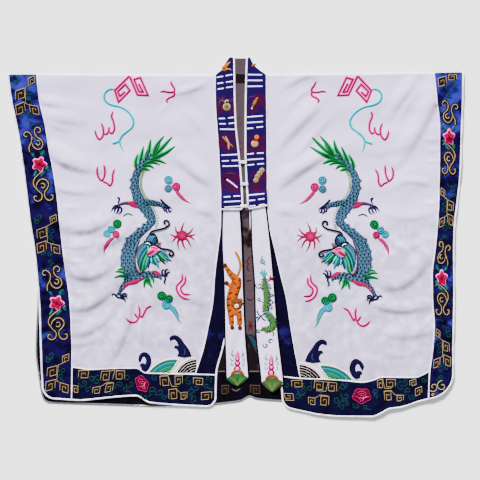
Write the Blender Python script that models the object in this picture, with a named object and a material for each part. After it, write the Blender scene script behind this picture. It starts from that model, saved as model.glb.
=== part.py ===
"""Wide ritual robe laid flat, front up: two satin fronts over one back, banded, piped and bound.

Plan sizes are in millimetres: "out" is measured from the centre front towards one side, "across" is the
same with its sign over the whole width, and "drop" runs down from the straight shoulder line.
"""

import math
from collections import namedtuple

import bmesh
import bpy
import numpy as np

ROBE_NAME = "ritual_robe"
MM = 0.001

# Where the centre front and the shoulder line lie, so that the robe is centred on the origin
CENTRE_X = 26.5
SHOULDER_Y = 648.8

# Walls, strips and seams
SEAM_GAP = 0.3
BINDING_GAP = 0.8
BACK_WALL = 2.0
FRONT_WALL = 2.0
COLLAR_WALL = 3.0
STREAMER_WALL = 1.6
PIPING_WIDTH = 5.0
PIPING_WALL = 3.0
BINDING_WIDTH = 9.0
BINDING_WALL = 2.6
COLLAR_BINDING_WIDTH = 7.0
COLLAR_BINDING_WALL = 3.4
STREAMER_BINDING_WIDTH = 6.0
STREAMER_BINDING_WALL = 2.0

# Heights of the lowest skin of each layer
FRONT_BASE = BACK_WALL + SEAM_GAP
STREAMER_BASE = FRONT_BASE + PIPING_WALL + SEAM_GAP
COLLAR_END_BASE = STREAMER_BASE + STREAMER_BINDING_WALL + SEAM_GAP

# The fold over the shoulder and over the collar's top
ROLL_INSIDE = 1.2
ROLL_STEPS = 2

# Collar: its top above the shoulder line, its ends, and where it climbs over the streamers
COLLAR_TOP = -71.0
COLLAR_CLIMB = 452.0
COLLAR_CLIMBED = 500.0
UNDER_COLLAR = 515.0
COLLAR_CORNER = 14.0
COLLAR_FOOT = {"left": 541.0, "right": 541.0}
COLLAR_FOOT_SLANT = {"left": 0.0, "right": -0.21}

# Corner radii at the foot of the fronts
OUTER_CORNER = {"left": 48.0, "right": 84.0}
FRONT_CORNER = {"left": 40.0, "right": 32.0}
BACK_CORNER = {"left": 30.0, "right": 90.0}

# Shoulder line of each half: drop at the outer edge, at the side seam and at the front seam
ShoulderPoints = namedtuple("ShoulderPoints", "outer_edge side_seam front_seam")
SHOULDER = {
    "left": ShoulderPoints(-3.0, -3.0, 2.0),
    "right": ShoulderPoints(-12.0, -9.0, 0.0),
}

# How far out the lines of each front lie, at each drop
FrontSection = namedtuple("FrontSection", "drop outer_edge side_seam front_seam front_edge")
FRONT_SECTIONS = {
    "left": (
        FrontSection(0, 940, 821, 108, 7),
        FrontSection(100, 927, 810, 108, 7),
        FrontSection(200, 906, 787, 102, 7),
        FrontSection(300, 889, 771, 95, 7),
        FrontSection(400, 875, 752, 90, 7),
        FrontSection(500, 863, 738, 86, 7),
        FrontSection(600, 850, 728, 87, 7),
        FrontSection(700, 834, 716, 98, 18),
        FrontSection(800, 824, 703, 110, 30),
        FrontSection(900, 815, 689, 117, 37),
        FrontSection(1000, 811, 683, 135, 55),
        FrontSection(1100, 808, 680, 157, 77),
        FrontSection(1200, 804, 681, 189, 101),
        FrontSection(1340, 797, 683, 230, 104),
    ),
    "right": (
        FrontSection(0, 887, 768, 97, 29),
        FrontSection(100, 886, 778, 98, 29),
        FrontSection(200, 882, 789, 99, 29),
        FrontSection(300, 879, 789, 100, 29),
        FrontSection(400, 875, 788, 101, 29),
        FrontSection(500, 865, 786, 102, 29),
        FrontSection(600, 853, 781, 110, 31),
        FrontSection(700, 850, 771, 132, 52),
        FrontSection(800, 851, 760, 155, 75),
        FrontSection(900, 851, 761, 179, 99),
        FrontSection(1000, 849, 768, 194, 114),
        FrontSection(1100, 847, 762, 211, 131),
        FrontSection(1200, 847, 749, 230, 150),
        FrontSection(1340, 846, 744, 254, 162),
    ),
}

# Drop of the hem seam and of the foot of each front, by how far out they lie
HemPoint = namedtuple("HemPoint", "out drop")
HEM_SEAM = {
    "left": (
        HemPoint(105, 1200),
        HemPoint(253, 1196),
        HemPoint(387, 1192),
        HemPoint(422, 1173),
        HemPoint(521, 1174),
        HemPoint(602, 1178),
        HemPoint(677, 1169),
    ),
    "right": (
        HemPoint(153, 1206),
        HemPoint(233, 1214),
        HemPoint(327, 1217),
        HemPoint(415, 1223),
        HemPoint(479, 1229),
        HemPoint(523, 1221),
        HemPoint(558, 1209),
        HemPoint(688, 1210),
        HemPoint(757, 1181),
    ),
}
FOOT = {
    "left": (
        HemPoint(105, 1330),
        HemPoint(209, 1326),
        HemPoint(369, 1313),
        HemPoint(425, 1286),
        HemPoint(489, 1289),
        HemPoint(569, 1297),
        HemPoint(649, 1304),
        HemPoint(729, 1299),
        HemPoint(800, 1296),
    ),
    "right": (
        HemPoint(153, 1326),
        HemPoint(191, 1337),
        HemPoint(231, 1346),
        HemPoint(311, 1362),
        HemPoint(391, 1369),
        HemPoint(519, 1370),
        HemPoint(551, 1358),
        HemPoint(591, 1338),
        HemPoint(631, 1333),
        HemPoint(711, 1308),
        HemPoint(751, 1298),
        HemPoint(860, 1276),
    ),
}

# Collar lines: how far out the inner edge lies, and the outer edge above the shoulder line
CollarSection = namedtuple("CollarSection", "drop inner_edge")
COLLAR_INNER = {
    "left": (
        CollarSection(-71, 29),
        CollarSection(0, 28),
        CollarSection(100, 26),
        CollarSection(200, 22),
        CollarSection(300, 12),
        CollarSection(400, 2),
        CollarSection(500, -4),
        CollarSection(560, -5),
    ),
    "right": (
        CollarSection(-71, 16),
        CollarSection(0, 13),
        CollarSection(100, 11),
        CollarSection(200, 10),
        CollarSection(300, 10),
        CollarSection(400, 13),
        CollarSection(500, 19),
        CollarSection(560, 22),
    ),
}
CollarSlope = namedtuple("CollarSlope", "drop outer_edge")
COLLAR_SHOULDER = {
    "left": (CollarSlope(-71, 53), CollarSlope(-44, 70), CollarSlope(-18, 86)),
    "right": (CollarSlope(-71, 34), CollarSlope(-44, 46), CollarSlope(-18, 74)),
}

# Streamers: how far out their edges lie, and the length of the pointed end
StreamerSection = namedtuple("StreamerSection", "drop outer_edge inner_edge")
STREAMER_SECTIONS = {
    "left": (
        StreamerSection(515, 82, 7),
        StreamerSection(660, 84, -2),
        StreamerSection(844, 76, -8),
        StreamerSection(1020, 73, -15),
        StreamerSection(1212, 68, -30),
        StreamerSection(1260, 67, -33),
    ),
    "right": (
        StreamerSection(515, 97, 31),
        StreamerSection(660, 114, 34),
        StreamerSection(844, 131, 46),
        StreamerSection(1020, 145, 51),
        StreamerSection(1228, 169, 72),
        StreamerSection(1290, 174, 76),
    ),
}
STREAMER_CORNERS = {"left": 1210.0, "right": 1236.0}
STREAMER_POINT = 37.0

# Back: how far across its lines lie at each drop, and the drop of its foot
BackSection = namedtuple("BackSection", "drop left_edge right_edge")
BACK_SECTIONS = (
    BackSection(0, 931, 878),
    BackSection(200, 898, 873),
    BackSection(400, 867, 866),
    BackSection(600, 842, 844),
    BackSection(800, 819, 841),
    BackSection(900, 820, 841),
    BackSection(1000, 825, 840),
    BackSection(1100, 828, 838),
    BackSection(1200, 818, 837),
    BackSection(1320, 797, 836),
)
BACK_BAND_WIDTH = 105.0
BACK_HEM_SEAM = 1186.0
BackFoot = namedtuple("BackFoot", "across drop")
BACK_FOOT = (
    BackFoot(-800, 1312),
    BackFoot(-649, 1318),
    BackFoot(-489, 1323),
    BackFoot(-369, 1327),
    BackFoot(-200, 1321),
    BackFoot(-121, 1320),
    BackFoot(-49, 1313),
    BackFoot(-9, 1307),
    BackFoot(31, 1289),
    BackFoot(55, 1298),
    BackFoot(111, 1304),
    BackFoot(200, 1310),
    BackFoot(350, 1350),
    BackFoot(520, 1354),
    BackFoot(600, 1322),
    BackFoot(740, 1290),
    BackFoot(840, 1268),
)

# Folds: a ridge along a bent line through three points, half as wide as half_width says on each side
Fold = namedtuple("Fold", "out_1 drop_1 out_2 drop_2 out_3 drop_3 half_width height")
FOLDS = {
    "left": (
        Fold(793, 252, 705, 344, 569, 372, 48, 11),
        Fold(737, 584, 617, 612, 489, 524, 44, 8),
        Fold(721, 732, 633, 800, 521, 748, 46, 10),
        Fold(713, 912, 601, 912, 481, 796, 42, 9),
        Fold(705, 1028, 609, 1016, 505, 916, 38, 6),
        Fold(457, 900, 485, 1040, 553, 1164, 40, 7),
        Fold(265, 308, 185, 388, 81, 452, 46, 11),
        Fold(201, 528, 137, 544, 73, 560, 38, 6),
        Fold(225, 884, 169, 904, 105, 924, 36, 5),
        Fold(801, 148, 737, 172, 657, 188, 36, 4),
    ),
    "right": (
        Fold(327, 88, 223, 196, 111, 316, 42, 7),
        Fold(359, 292, 243, 368, 103, 452, 40, 9),
        Fold(783, 28, 727, 172, 615, 356, 46, 9),
        Fold(695, 4, 647, 72, 583, 164, 34, 6),
        Fold(527, 804, 639, 832, 759, 692, 46, 9),
        Fold(511, 896, 611, 936, 743, 920, 34, 7),
        Fold(551, 1024, 663, 1036, 783, 1000, 40, 5),
        Fold(255, 860, 223, 988, 191, 1100, 36, 5),
        Fold(95, 528, 151, 540, 223, 552, 34, 5),
        Fold(471, 940, 499, 1108, 495, 1284, 42, 5),
    ),
}
FOLD_POINTS = 9
CALM_STRIP = 6.0
CALM_REACH = 70.0

# Where the streamers come down from the front edges to the back, by how far they are past the edge
STREAMER_STEP_START = 24.0
STREAMER_STEP_END = 62.0

# Closures: place across the centre front, drop, and the tab's own size
Closure = namedtuple("Closure", "name across drop")
CLOSURES = (
    Closure("closure_upper", 2.0, 348.0),
    Closure("closure_middle", 8.0, 436.0),
    Closure("closure_lower", 8.5, 524.0),
)
CLOSURE_LENGTH = 30.0
CLOSURE_WIDTH = 12.0
CLOSURE_WALL = 1.6

# How many faces the pieces have between the lines that they share
FIELD_COLUMNS = 17
UPPER_ROWS = 13
LOWER_ROWS = 15
BAND_ROWS = 2
CORNER_STEPS = 3
EDGE_COLUMNS = 2
COLLAR_COLUMNS = 3
COLLAR_TOP_ROWS = 3
COLLAR_ROWS = 10
STREAMER_COLUMNS = 4
STREAMER_ROWS = 16
STREAMER_POINT_ROWS = 2
BACK_SIDE_COLUMNS = 6
BACK_MIDDLE_COLUMNS = 6
BACK_ROWS = 11
NET_ROUNDS = 12

SIDES = ("left", "right")
SIGN = {"left": -1.0, "right": 1.0}

Colour = namedtuple("Colour", "red green blue roughness")
WHITE_SATIN = Colour(0.70, 0.68, 0.72, 0.42)
BLUE_SATIN = Colour(0.012, 0.016, 0.12, 0.30)
NAVY_SATIN = Colour(0.008, 0.010, 0.07, 0.32)
COLLAR_NAVY = Colour(0.020, 0.016, 0.15, 0.45)
COLLAR_LINING = Colour(0.19, 0.18, 0.20, 0.60)
WHITE_BINDING = Colour(0.82, 0.82, 0.86, 0.45)
STREAMER_SATIN = Colour(0.80, 0.80, 0.82, 0.40)
BLACK_BINDING = Colour(0.006, 0.006, 0.007, 0.50)


def clear_scene():
    """Remove every object of the open scene."""
    for thing in list(bpy.data.objects):
        bpy.data.objects.remove(thing, do_unlink=True)


def smooth_line(points):
    """Function through (place, value) rows, without overshoot, level beyond both ends."""
    rows = sorted(tuple(point) for point in points)
    places = np.array([row[0] for row in rows], dtype=float)
    values = np.array([row[1] for row in rows], dtype=float)
    spans = np.diff(places)
    steps = np.diff(values) / spans
    slopes = np.zeros_like(values)
    agree = steps[:-1] * steps[1:] > 0
    inner = np.zeros_like(steps[1:])
    inner[agree] = 2.0 * steps[:-1][agree] * steps[1:][agree] / (steps[:-1][agree] + steps[1:][agree])
    slopes[1:-1] = inner
    slopes[0] = steps[0]
    slopes[-1] = steps[-1]

    def line(at):
        at = np.clip(at, places[0], places[-1])
        index = np.clip(np.searchsorted(places, at, side="right") - 1, 0, len(spans) - 1)
        span = spans[index]
        part = (at - places[index]) / span
        rest = 1.0 - part
        start = values[index] * (1.0 + 2.0 * part) * rest * rest
        end = values[index + 1] * (1.0 + 2.0 * rest) * part * part
        lean = slopes[index] * part * rest * rest - slopes[index + 1] * rest * part * part
        return start + end + lean * span

    return line


def straight_line(points):
    """Function through (place, value) rows with straight stretches."""
    rows = sorted(tuple(point) for point in points)
    places = [float(row[0]) for row in rows]
    values = [float(row[1]) for row in rows]
    return lambda at: np.interp(at, places, values)


def level(value):
    """Line that has one value everywhere."""
    return lambda at: np.full_like(at, value, dtype=float)


def moved(line, shift):
    """The line with shift added to its values."""
    return lambda at: line(at) + shift


def beside(line, shift):
    """The line moved square to itself by shift, positive towards larger values."""

    def shifted(at):
        slope = (line(at + 1.0) - line(at - 1.0)) / 2.0
        return line(at) + shift * np.sqrt(1.0 + slope * slope)

    return shifted


def smooth_step(start, end, at):
    """0 before start, 1 after end, eased between."""
    part = np.clip((at - start) / (end - start), 0.0, 1.0)
    return part * part * (3.0 - 2.0 * part)


def section_line(sections, column):
    """Smooth line of one named column of a table against its drop."""
    return smooth_line([(row.drop, getattr(row, column)) for row in sections])


def corner_line(side, outer_edge):
    """Line down a side band that meets the foot where the rounded outer corner ends."""
    radius = OUTER_CORNER[side]
    return lambda drop: outer_edge(drop) - radius * (0.6 + 0.4 * smooth_step(900.0, 1150.0, drop))


def front_lines(side):
    """All lines of one front: by drop for the upright ones, by out for the level ones."""
    sections = FRONT_SECTIONS[side]
    shoulder = SHOULDER[side]
    top = sections[0]
    front_seam = [(row.drop, row.front_seam) for row in sections]
    front_seam += [(row.drop, row.outer_edge) for row in COLLAR_SHOULDER[side]]
    return {
        "outer_edge": section_line(sections, "outer_edge"),
        "outer_corner": corner_line(side, section_line(sections, "outer_edge")),
        "side_seam": section_line(sections, "side_seam"),
        "front_seam": smooth_line(front_seam),
        "front_edge": section_line(sections, "front_edge"),
        "shoulder": straight_line(
            (
                (top.outer_edge, shoulder.outer_edge),
                (top.side_seam, shoulder.side_seam),
                (top.front_seam, shoulder.front_seam),
            )
        ),
        "hem_seam": smooth_line([(row.out, row.drop) for row in HEM_SEAM[side]]),
        "foot": smooth_line([(row.out, row.drop) for row in FOOT[side]]),
        "collar_inner": section_line(COLLAR_INNER[side], "inner_edge"),
    }


LINES = {side: front_lines(side) for side in SIDES}


def places_along(counts):
    """Places 0, 1, 2 ... at the lines, with the given number of steps between neighbours."""
    places = [0.0]
    for index, count in enumerate(counts):
        places.extend(index + step / count for step in range(1, count + 1))
    return np.array(places)


def between(lines, places, at):
    """Value at each place between the lines, each line read where the point lies."""
    values = np.stack([line(at) for line in lines])
    index = np.minimum(places.astype(int), len(lines) - 2)
    part = places - index
    lower = np.take_along_axis(values, index[None], axis=0)[0]
    upper = np.take_along_axis(values, index[None] + 1, axis=0)[0]
    return lower * (1.0 - part) + upper * part


def rounded_places(columns, rows, corners, last_column, last_row):
    """Bend the square of places at a lower corner into a quarter disc."""
    down = np.clip(rows - (last_row - 1), 0.0, 1.0)
    for corner in corners:
        first = corner == "first"
        aside = np.clip(1.0 - columns if first else columns - (last_column - 1), 0.0, 1.0)
        bent = aside * np.sqrt(1.0 - down * down / 2.0)
        columns = np.where(aside > 0.0, 1.0 - bent if first else last_column - 1 + bent, columns)
        rows = np.where(down > 0.0, last_row - 1 + down * np.sqrt(1.0 - aside * aside / 2.0), rows)
    return columns, rows


def plan(column_lines, column_counts, row_lines, row_counts, corners=()):
    """Net of plan points between upright lines and level lines: arrays of out and drop."""
    columns, rows = np.meshgrid(places_along(column_counts), places_along(row_counts))
    if corners:
        columns, rows = rounded_places(columns, rows, corners, len(column_counts), len(row_counts))
    out = between(column_lines, columns, np.full_like(columns, 600.0))
    drop = between(row_lines, rows, out)
    for _ in range(NET_ROUNDS):
        out = between(column_lines, columns, drop)
        drop = between(row_lines, rows, out)
    return out, drop


def bent_line(fold):
    """Points along the fold's crest, a parabola through its three points."""
    part = np.linspace(0.0, 1.0, FOLD_POINTS)
    weights = ((1 - part) * (1 - 2 * part), 4 * part * (1 - part), part * (2 * part - 1))
    out = weights[0] * fold.out_1 + weights[1] * fold.out_2 + weights[2] * fold.out_3
    drop = weights[0] * fold.drop_1 + weights[1] * fold.drop_2 + weights[2] * fold.drop_3
    return out, drop


def fold_height(fold, out, drop):
    """Height of one ridge: highest on its crest, fading to its sides and to its ends."""
    crest_out, crest_drop = bent_line(fold)
    nearest = np.full(out.shape, np.inf)
    along = np.zeros(out.shape)
    for index in range(FOLD_POINTS - 1):
        run_out = crest_out[index + 1] - crest_out[index]
        run_drop = crest_drop[index + 1] - crest_drop[index]
        length = run_out * run_out + run_drop * run_drop
        part = ((out - crest_out[index]) * run_out + (drop - crest_drop[index]) * run_drop) / length
        part = np.clip(part, 0.0, 1.0)
        gap = np.hypot(
            out - crest_out[index] - part * run_out,
            drop - crest_drop[index] - part * run_drop,
        )
        closer = gap < nearest
        nearest = np.where(closer, gap, nearest)
        along = np.where(closer, (index + part) / (FOLD_POINTS - 1), along)
    side_fade = np.clip(1.0 - (nearest / fold.half_width) ** 2, 0.0, None) ** 2
    end_fade = np.sin(math.pi * np.clip(along, 0.08, 0.92)) ** 0.7
    return fold.height * side_fade * end_fade


def cloth_rise(side, out, drop):
    """How far the folds lift a front; nothing rises at the front seam or nearer the centre."""
    rise = np.zeros(out.shape)
    for fold in FOLDS[side]:
        rise = rise + fold_height(fold, out, drop)
    past_seam = out - LINES[side]["front_seam"](drop)
    return rise * smooth_step(CALM_STRIP, CALM_REACH, past_seam)


def to_world(sign, out, drop, height):
    """Plan place and height as world points in metres."""
    x = CENTRE_X + sign * out
    y = SHOULDER_Y - drop
    return np.stack([x, y, height], axis=-1) * MM


def flat_skins(sign, out, drop, low, wall):
    """Lower and upper skin of a piece whose lowest skin is at the heights low."""
    lower = to_world(sign, out, drop, low)
    upper = to_world(sign, out, drop, low + wall)
    return lower, upper


def rolled_skins(sign, out, drop, low, wall):
    """Skins of a piece whose first row turns over and runs down to the floor."""
    low_rows = []
    up_rows = []
    for step in range(ROLL_STEPS, 0, -1):
        angle = math.pi / 2 * step / ROLL_STEPS
        inside = drop[0] - ROLL_INSIDE * math.sin(angle)
        outside = drop[0] - (ROLL_INSIDE + wall) * math.sin(angle)
        low_rows.append(to_world(sign, out[0], inside, low[0] * math.cos(angle)))
        up_rows.append(to_world(sign, out[0], outside, (low[0] + wall) * math.cos(angle)))
    lower, upper = flat_skins(sign, out, drop, low, wall)
    lower = np.concatenate([np.stack(low_rows), lower])
    upper = np.concatenate([np.stack(up_rows), upper])
    return lower, upper


def add_material(name, colour):
    """Material of one piece."""
    material = bpy.data.materials.new(name)
    material.use_nodes = True
    shader = material.node_tree.nodes["Principled BSDF"]
    shader.inputs["Base Color"].default_value = (colour.red, colour.green, colour.blue, 1.0)
    shader.inputs["Roughness"].default_value = colour.roughness
    shader.inputs["Metallic"].default_value = 0.0
    material.diffuse_color = (colour.red, colour.green, colour.blue, 1.0)
    return material


def add_shell(name, skins, colour, collection):
    """Closed wall: a grid slab whose two faces take the places of the two skins."""
    lower, upper = skins
    rows, columns = lower.shape[:2]
    bm = bmesh.new()
    bmesh.ops.create_grid(bm, x_segments=columns - 1, y_segments=rows - 1, size=1.0)
    raised = bmesh.ops.extrude_face_region(bm, geom=bm.faces[:])
    new_verts = [item for item in raised["geom"] if isinstance(item, bmesh.types.BMVert)]
    bmesh.ops.translate(bm, verts=new_verts, vec=(0.0, 0.0, 1.0))
    for vert in bm.verts:
        column = round((vert.co.x + 1.0) / 2.0 * (columns - 1))
        row = round((1.0 - vert.co.y) / 2.0 * (rows - 1))
        skin = upper if vert.co.z > 0.5 else lower
        vert.co = skin[row, column]
    bmesh.ops.recalc_face_normals(bm, faces=bm.faces[:])
    if bm.calc_volume(signed=True) < 0.0:
        bmesh.ops.reverse_faces(bm, faces=bm.faces[:])
    mesh = bpy.data.meshes.new(name)
    bm.to_mesh(mesh)
    bm.free()
    mesh.materials.append(add_material(name, colour))
    mesh.shade_smooth()
    mesh.set_sharp_from_angle(angle=math.radians(40))
    piece = bpy.data.objects.new(name, mesh)
    collection.objects.link(piece)
    return piece


def shoulder_row(line):
    """First level row of a piece that folds over at the given line."""
    return moved(line, ROLL_INSIDE + FRONT_WALL)


def front_piece(name, side, net, wall, colour, collection, rolled=False):
    """Piece of a front, lifted with its folds."""
    out, drop = net
    low = FRONT_BASE + cloth_rise(side, out, drop)
    make_skins = rolled_skins if rolled else flat_skins
    add_shell(name, make_skins(SIGN[side], out, drop, low, wall), colour, collection)


def front_rows(side, foot_inset):
    """Level lines of a front from the shoulder to the foot, and the steps between them."""
    lines = LINES[side]
    rows = [
        shoulder_row(lines["shoulder"]),
        level(UNDER_COLLAR),
        lines["hem_seam"],
        moved(lines["foot"], -OUTER_CORNER[side]),
        moved(lines["foot"], -foot_inset),
    ]
    return rows, [UPPER_ROWS, LOWER_ROWS, BAND_ROWS, CORNER_STEPS]


def build_fields(collection):
    """The two wide white fronts between side seam, front seam, shoulder and hem seam."""
    half = PIPING_WIDTH / 2 + SEAM_GAP
    for side in SIDES:
        lines = LINES[side]
        net = plan(
            [beside(lines["side_seam"], -half), beside(lines["front_seam"], half)],
            [FIELD_COLUMNS],
            [shoulder_row(lines["shoulder"]), level(UNDER_COLLAR), beside(lines["hem_seam"], -half)],
            [UPPER_ROWS, LOWER_ROWS],
        )
        front_piece(f"front_{side}", side, net, FRONT_WALL, WHITE_SATIN, collection, rolled=True)


def side_band_columns(side, inset):
    """Upright lines of a side band, from the outer edge set in by inset to the side seam."""
    lines = LINES[side]
    columns = [
        moved(lines["outer_edge"], -inset),
        lines["outer_corner"],
        beside(lines["side_seam"], PIPING_WIDTH / 2 + SEAM_GAP),
    ]
    return columns, [CORNER_STEPS, 1]


def hem_band_columns(side, inset):
    """Upright lines of a hem band, from the side seam to the front edge set in by inset."""
    lines = LINES[side]
    half = PIPING_WIDTH / 2 + SEAM_GAP
    columns = [
        beside(lines["side_seam"], -half),
        beside(lines["front_seam"], half),
        moved(lines["front_edge"], FRONT_CORNER[side]),
        moved(lines["front_edge"], inset),
    ]
    return columns, [FIELD_COLUMNS, 1, CORNER_STEPS]


def build_side_bands(collection):
    """The blue bands down the outer edges, with the seam's piping."""
    half = PIPING_WIDTH / 2
    inset = BINDING_WIDTH + BINDING_GAP
    for side in SIDES:
        lines = LINES[side]
        rows, counts = front_rows(side, inset)
        net = plan(*side_band_columns(side, inset), rows, counts, corners=("first",))
        front_piece(f"side_band_{side}", side, net, FRONT_WALL, BLUE_SATIN, collection, rolled=True)
        seam = [beside(lines["side_seam"], half), beside(lines["side_seam"], -half)]
        net = plan(seam, [1], rows, counts)
        front_piece(f"side_piping_{side}", side, net, PIPING_WALL, WHITE_BINDING, collection, rolled=True)


def build_hem_bands(collection):
    """The blue bands along the foot of each front, with the seam's piping."""
    half = PIPING_WIDTH / 2
    inset = BINDING_WIDTH + BINDING_GAP
    for side in SIDES:
        lines = LINES[side]
        columns, counts = hem_band_columns(side, inset)
        rows = [
            beside(lines["hem_seam"], half + SEAM_GAP),
            moved(lines["foot"], -FRONT_CORNER[side]),
            moved(lines["foot"], -inset),
        ]
        net = plan(columns, counts, rows, [BAND_ROWS, CORNER_STEPS], corners=("last",))
        front_piece(f"hem_band_{side}", side, net, FRONT_WALL, BLUE_SATIN, collection)
        seam = [beside(lines["hem_seam"], -half), beside(lines["hem_seam"], half)]
        net = plan(columns, counts, seam, [1])
        front_piece(f"hem_piping_{side}", side, net, PIPING_WALL, WHITE_BINDING, collection)


def build_edge_bands(collection):
    """The plain navy bands down each front edge below the collar."""
    half = PIPING_WIDTH / 2 + SEAM_GAP
    inset = BINDING_WIDTH + BINDING_GAP
    for side in SIDES:
        lines = LINES[side]
        net = plan(
            [beside(lines["front_seam"], -half), moved(lines["front_edge"], inset)],
            [EDGE_COLUMNS],
            [level(UNDER_COLLAR), beside(lines["hem_seam"], -half)],
            [LOWER_ROWS],
        )
        front_piece(f"edge_band_{side}", side, net, FRONT_WALL, NAVY_SATIN, collection)


def collar_low(drop):
    """Lowest skin of the collar, which climbs over the streamers at its ends."""
    climb = smooth_step(COLLAR_CLIMB, COLLAR_CLIMBED, drop)
    return FRONT_BASE + (COLLAR_END_BASE - FRONT_BASE) * climb


def build_front_piping(collection):
    """White piping from the collar's top down the front seam to the hem seam."""
    half = PIPING_WIDTH / 2
    for side in SIDES:
        lines = LINES[side]
        net = plan(
            [beside(lines["front_seam"], half), beside(lines["front_seam"], -half)],
            [1],
            [
                shoulder_row(level(COLLAR_TOP)),
                level(0.0),
                level(UNDER_COLLAR),
                beside(lines["hem_seam"], -half - SEAM_GAP),
            ],
            [COLLAR_TOP_ROWS, UPPER_ROWS, LOWER_ROWS],
        )
        front_piece(f"front_piping_{side}", side, net, PIPING_WALL, WHITE_BINDING, collection, rolled=True)


def collar_net(side, inset):
    """Net of a collar length, its open edges set in by inset."""
    lines = LINES[side]
    half = PIPING_WIDTH / 2 + SEAM_GAP
    slant = COLLAR_FOOT_SLANT[side]
    foot = COLLAR_FOOT[side]

    def end(out):
        return foot + slant * (out - lines["collar_inner"](foot))

    columns = [
        beside(lines["front_seam"], -half),
        moved(lines["collar_inner"], COLLAR_CORNER),
        moved(lines["collar_inner"], inset),
    ]
    rows = [
        shoulder_row(level(COLLAR_TOP)),
        level(0.0),
        level(COLLAR_CLIMB),
        level(COLLAR_CLIMBED),
        moved(end, -COLLAR_CORNER),
        moved(end, -inset),
    ]
    counts = [COLLAR_TOP_ROWS, COLLAR_ROWS, 2, 1, 2]
    return plan(columns, [COLLAR_COLUMNS - 1, 2], rows, counts, corners=("last",))


def rim(net, first_side=True):
    """Points round a net's open edge: down its first side, along its foot, up its last side."""
    parts = []
    for grid in net:
        down = grid[:-1, 0] if first_side else grid[:0, 0]
        up = grid[:-1, -1][::-1]
        parts.append(np.concatenate([down, grid[-1], up]))
    return parts


def strip(outside, inside):
    """Net of a strip one face wide between two rims with the same number of points."""
    out = np.stack([outside[0], inside[0]], axis=1)
    drop = np.stack([outside[1], inside[1]], axis=1)
    return out, drop


def build_collar(collection):
    """The two front lengths of the collar with their white bindings, and the length behind the neck."""
    for side in SIDES:
        out, drop = collar_net(side, COLLAR_BINDING_WIDTH + BINDING_GAP)
        skins = rolled_skins(SIGN[side], out, drop, collar_low(drop), COLLAR_WALL)
        add_shell(f"collar_{side}", skins, COLLAR_NAVY, collection)
        outside = rim(collar_net(side, 0.0), first_side=False)
        inside = rim(collar_net(side, COLLAR_BINDING_WIDTH), first_side=False)
        out, drop = strip(outside, inside)
        out = out[::-1]
        drop = drop[::-1]
        skins = rolled_skins(SIGN[side], out, drop, collar_low(drop), COLLAR_BINDING_WALL)
        add_shell(f"collar_binding_{side}", skins, WHITE_BINDING, collection)
    build_collar_back(collection)


def build_collar_back(collection):
    """The collar's length behind the neck, flat on the floor between the two front seams."""
    edge = PIPING_WIDTH / 2

    def left_end(drop):
        return -LINES["left"]["front_seam"](drop) - edge

    def right_end(drop):
        return LINES["right"]["front_seam"](drop) + edge

    inside_roll = COLLAR_BINDING_WALL + SEAM_GAP
    out, drop = plan(
        [left_end, right_end],
        [BACK_MIDDLE_COLUMNS],
        [level(COLLAR_TOP + inside_roll), moved(back_lines()["shoulder"], -SEAM_GAP)],
        [COLLAR_TOP_ROWS],
    )
    skins = flat_skins(1.0, out, drop, np.zeros_like(out), BACK_WALL)
    add_shell("collar_back", skins, COLLAR_LINING, collection)


def back_lines():
    """Lines of the back, across the whole width."""
    left_edge = section_line(BACK_SECTIONS, "left_edge")
    right_edge = section_line(BACK_SECTIONS, "right_edge")
    left = LINES["left"]
    right = LINES["right"]
    shoulder = []
    for side in SIDES:
        top = FRONT_SECTIONS[side][0]
        points = SHOULDER[side]
        shoulder.append((SIGN[side] * top.outer_edge, points.outer_edge))
        shoulder.append((SIGN[side] * top.side_seam, points.side_seam))
        shoulder.append((SIGN[side] * top.front_seam, points.front_seam))
    return {
        "left_edge": lambda drop: -left_edge(drop),
        "left_seam": lambda drop: -left_edge(drop) + BACK_BAND_WIDTH,
        "left_neck": lambda drop: -left["front_seam"](np.zeros_like(drop)),
        "right_neck": lambda drop: right["front_seam"](np.zeros_like(drop)),
        "right_seam": lambda drop: right_edge(drop) - BACK_BAND_WIDTH,
        "right_edge": right_edge,
        "shoulder": moved(straight_line(shoulder), ROLL_INSIDE + FRONT_WALL + SEAM_GAP),
        "foot": smooth_line([(row.across, row.drop) for row in BACK_FOOT]),
    }


def back_middle_columns(lines, gap):
    """Upright lines of the back between its side seams, set in from them by gap."""
    return [
        moved(lines["left_seam"], gap),
        lines["left_neck"],
        lines["right_neck"],
        moved(lines["right_seam"], -gap),
    ]


def back_side_rows(lines, side, inset):
    """Level lines at the back's sides, from the shoulder to the foot set in by inset."""
    rows = [
        lines["shoulder"],
        level(BACK_HEM_SEAM - PIPING_WIDTH / 2 - SEAM_GAP),
        moved(lines["foot"], -BACK_CORNER[side]),
        moved(lines["foot"], -inset),
    ]
    return rows, [BACK_ROWS, BAND_ROWS, CORNER_STEPS]


def back_side_net(lines, side, inset):
    """Net of a back side band, its open edges set in by inset."""
    edge = lines[f"{side}_edge"]
    inward = -SIGN[side]
    corner = BACK_CORNER[side]
    columns = [
        moved(edge, inward * inset),
        moved(edge, inward * corner),
        moved(lines[f"{side}_seam"], -inward * (PIPING_WIDTH / 2 + SEAM_GAP)),
    ]
    rows, counts = back_side_rows(lines, side, inset)
    return plan(columns, [CORNER_STEPS, 1], rows, counts, corners=("first",))


def back_foot_net(lines, inset):
    """Net of the back's hem band, its foot set in by inset."""
    half = PIPING_WIDTH / 2 + SEAM_GAP
    counts = [BACK_SIDE_COLUMNS, 2 * BACK_MIDDLE_COLUMNS, BACK_SIDE_COLUMNS]
    rows = [level(BACK_HEM_SEAM + half), moved(lines["foot"], -inset)]
    return plan(back_middle_columns(lines, half), counts, rows, [BAND_ROWS])


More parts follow.
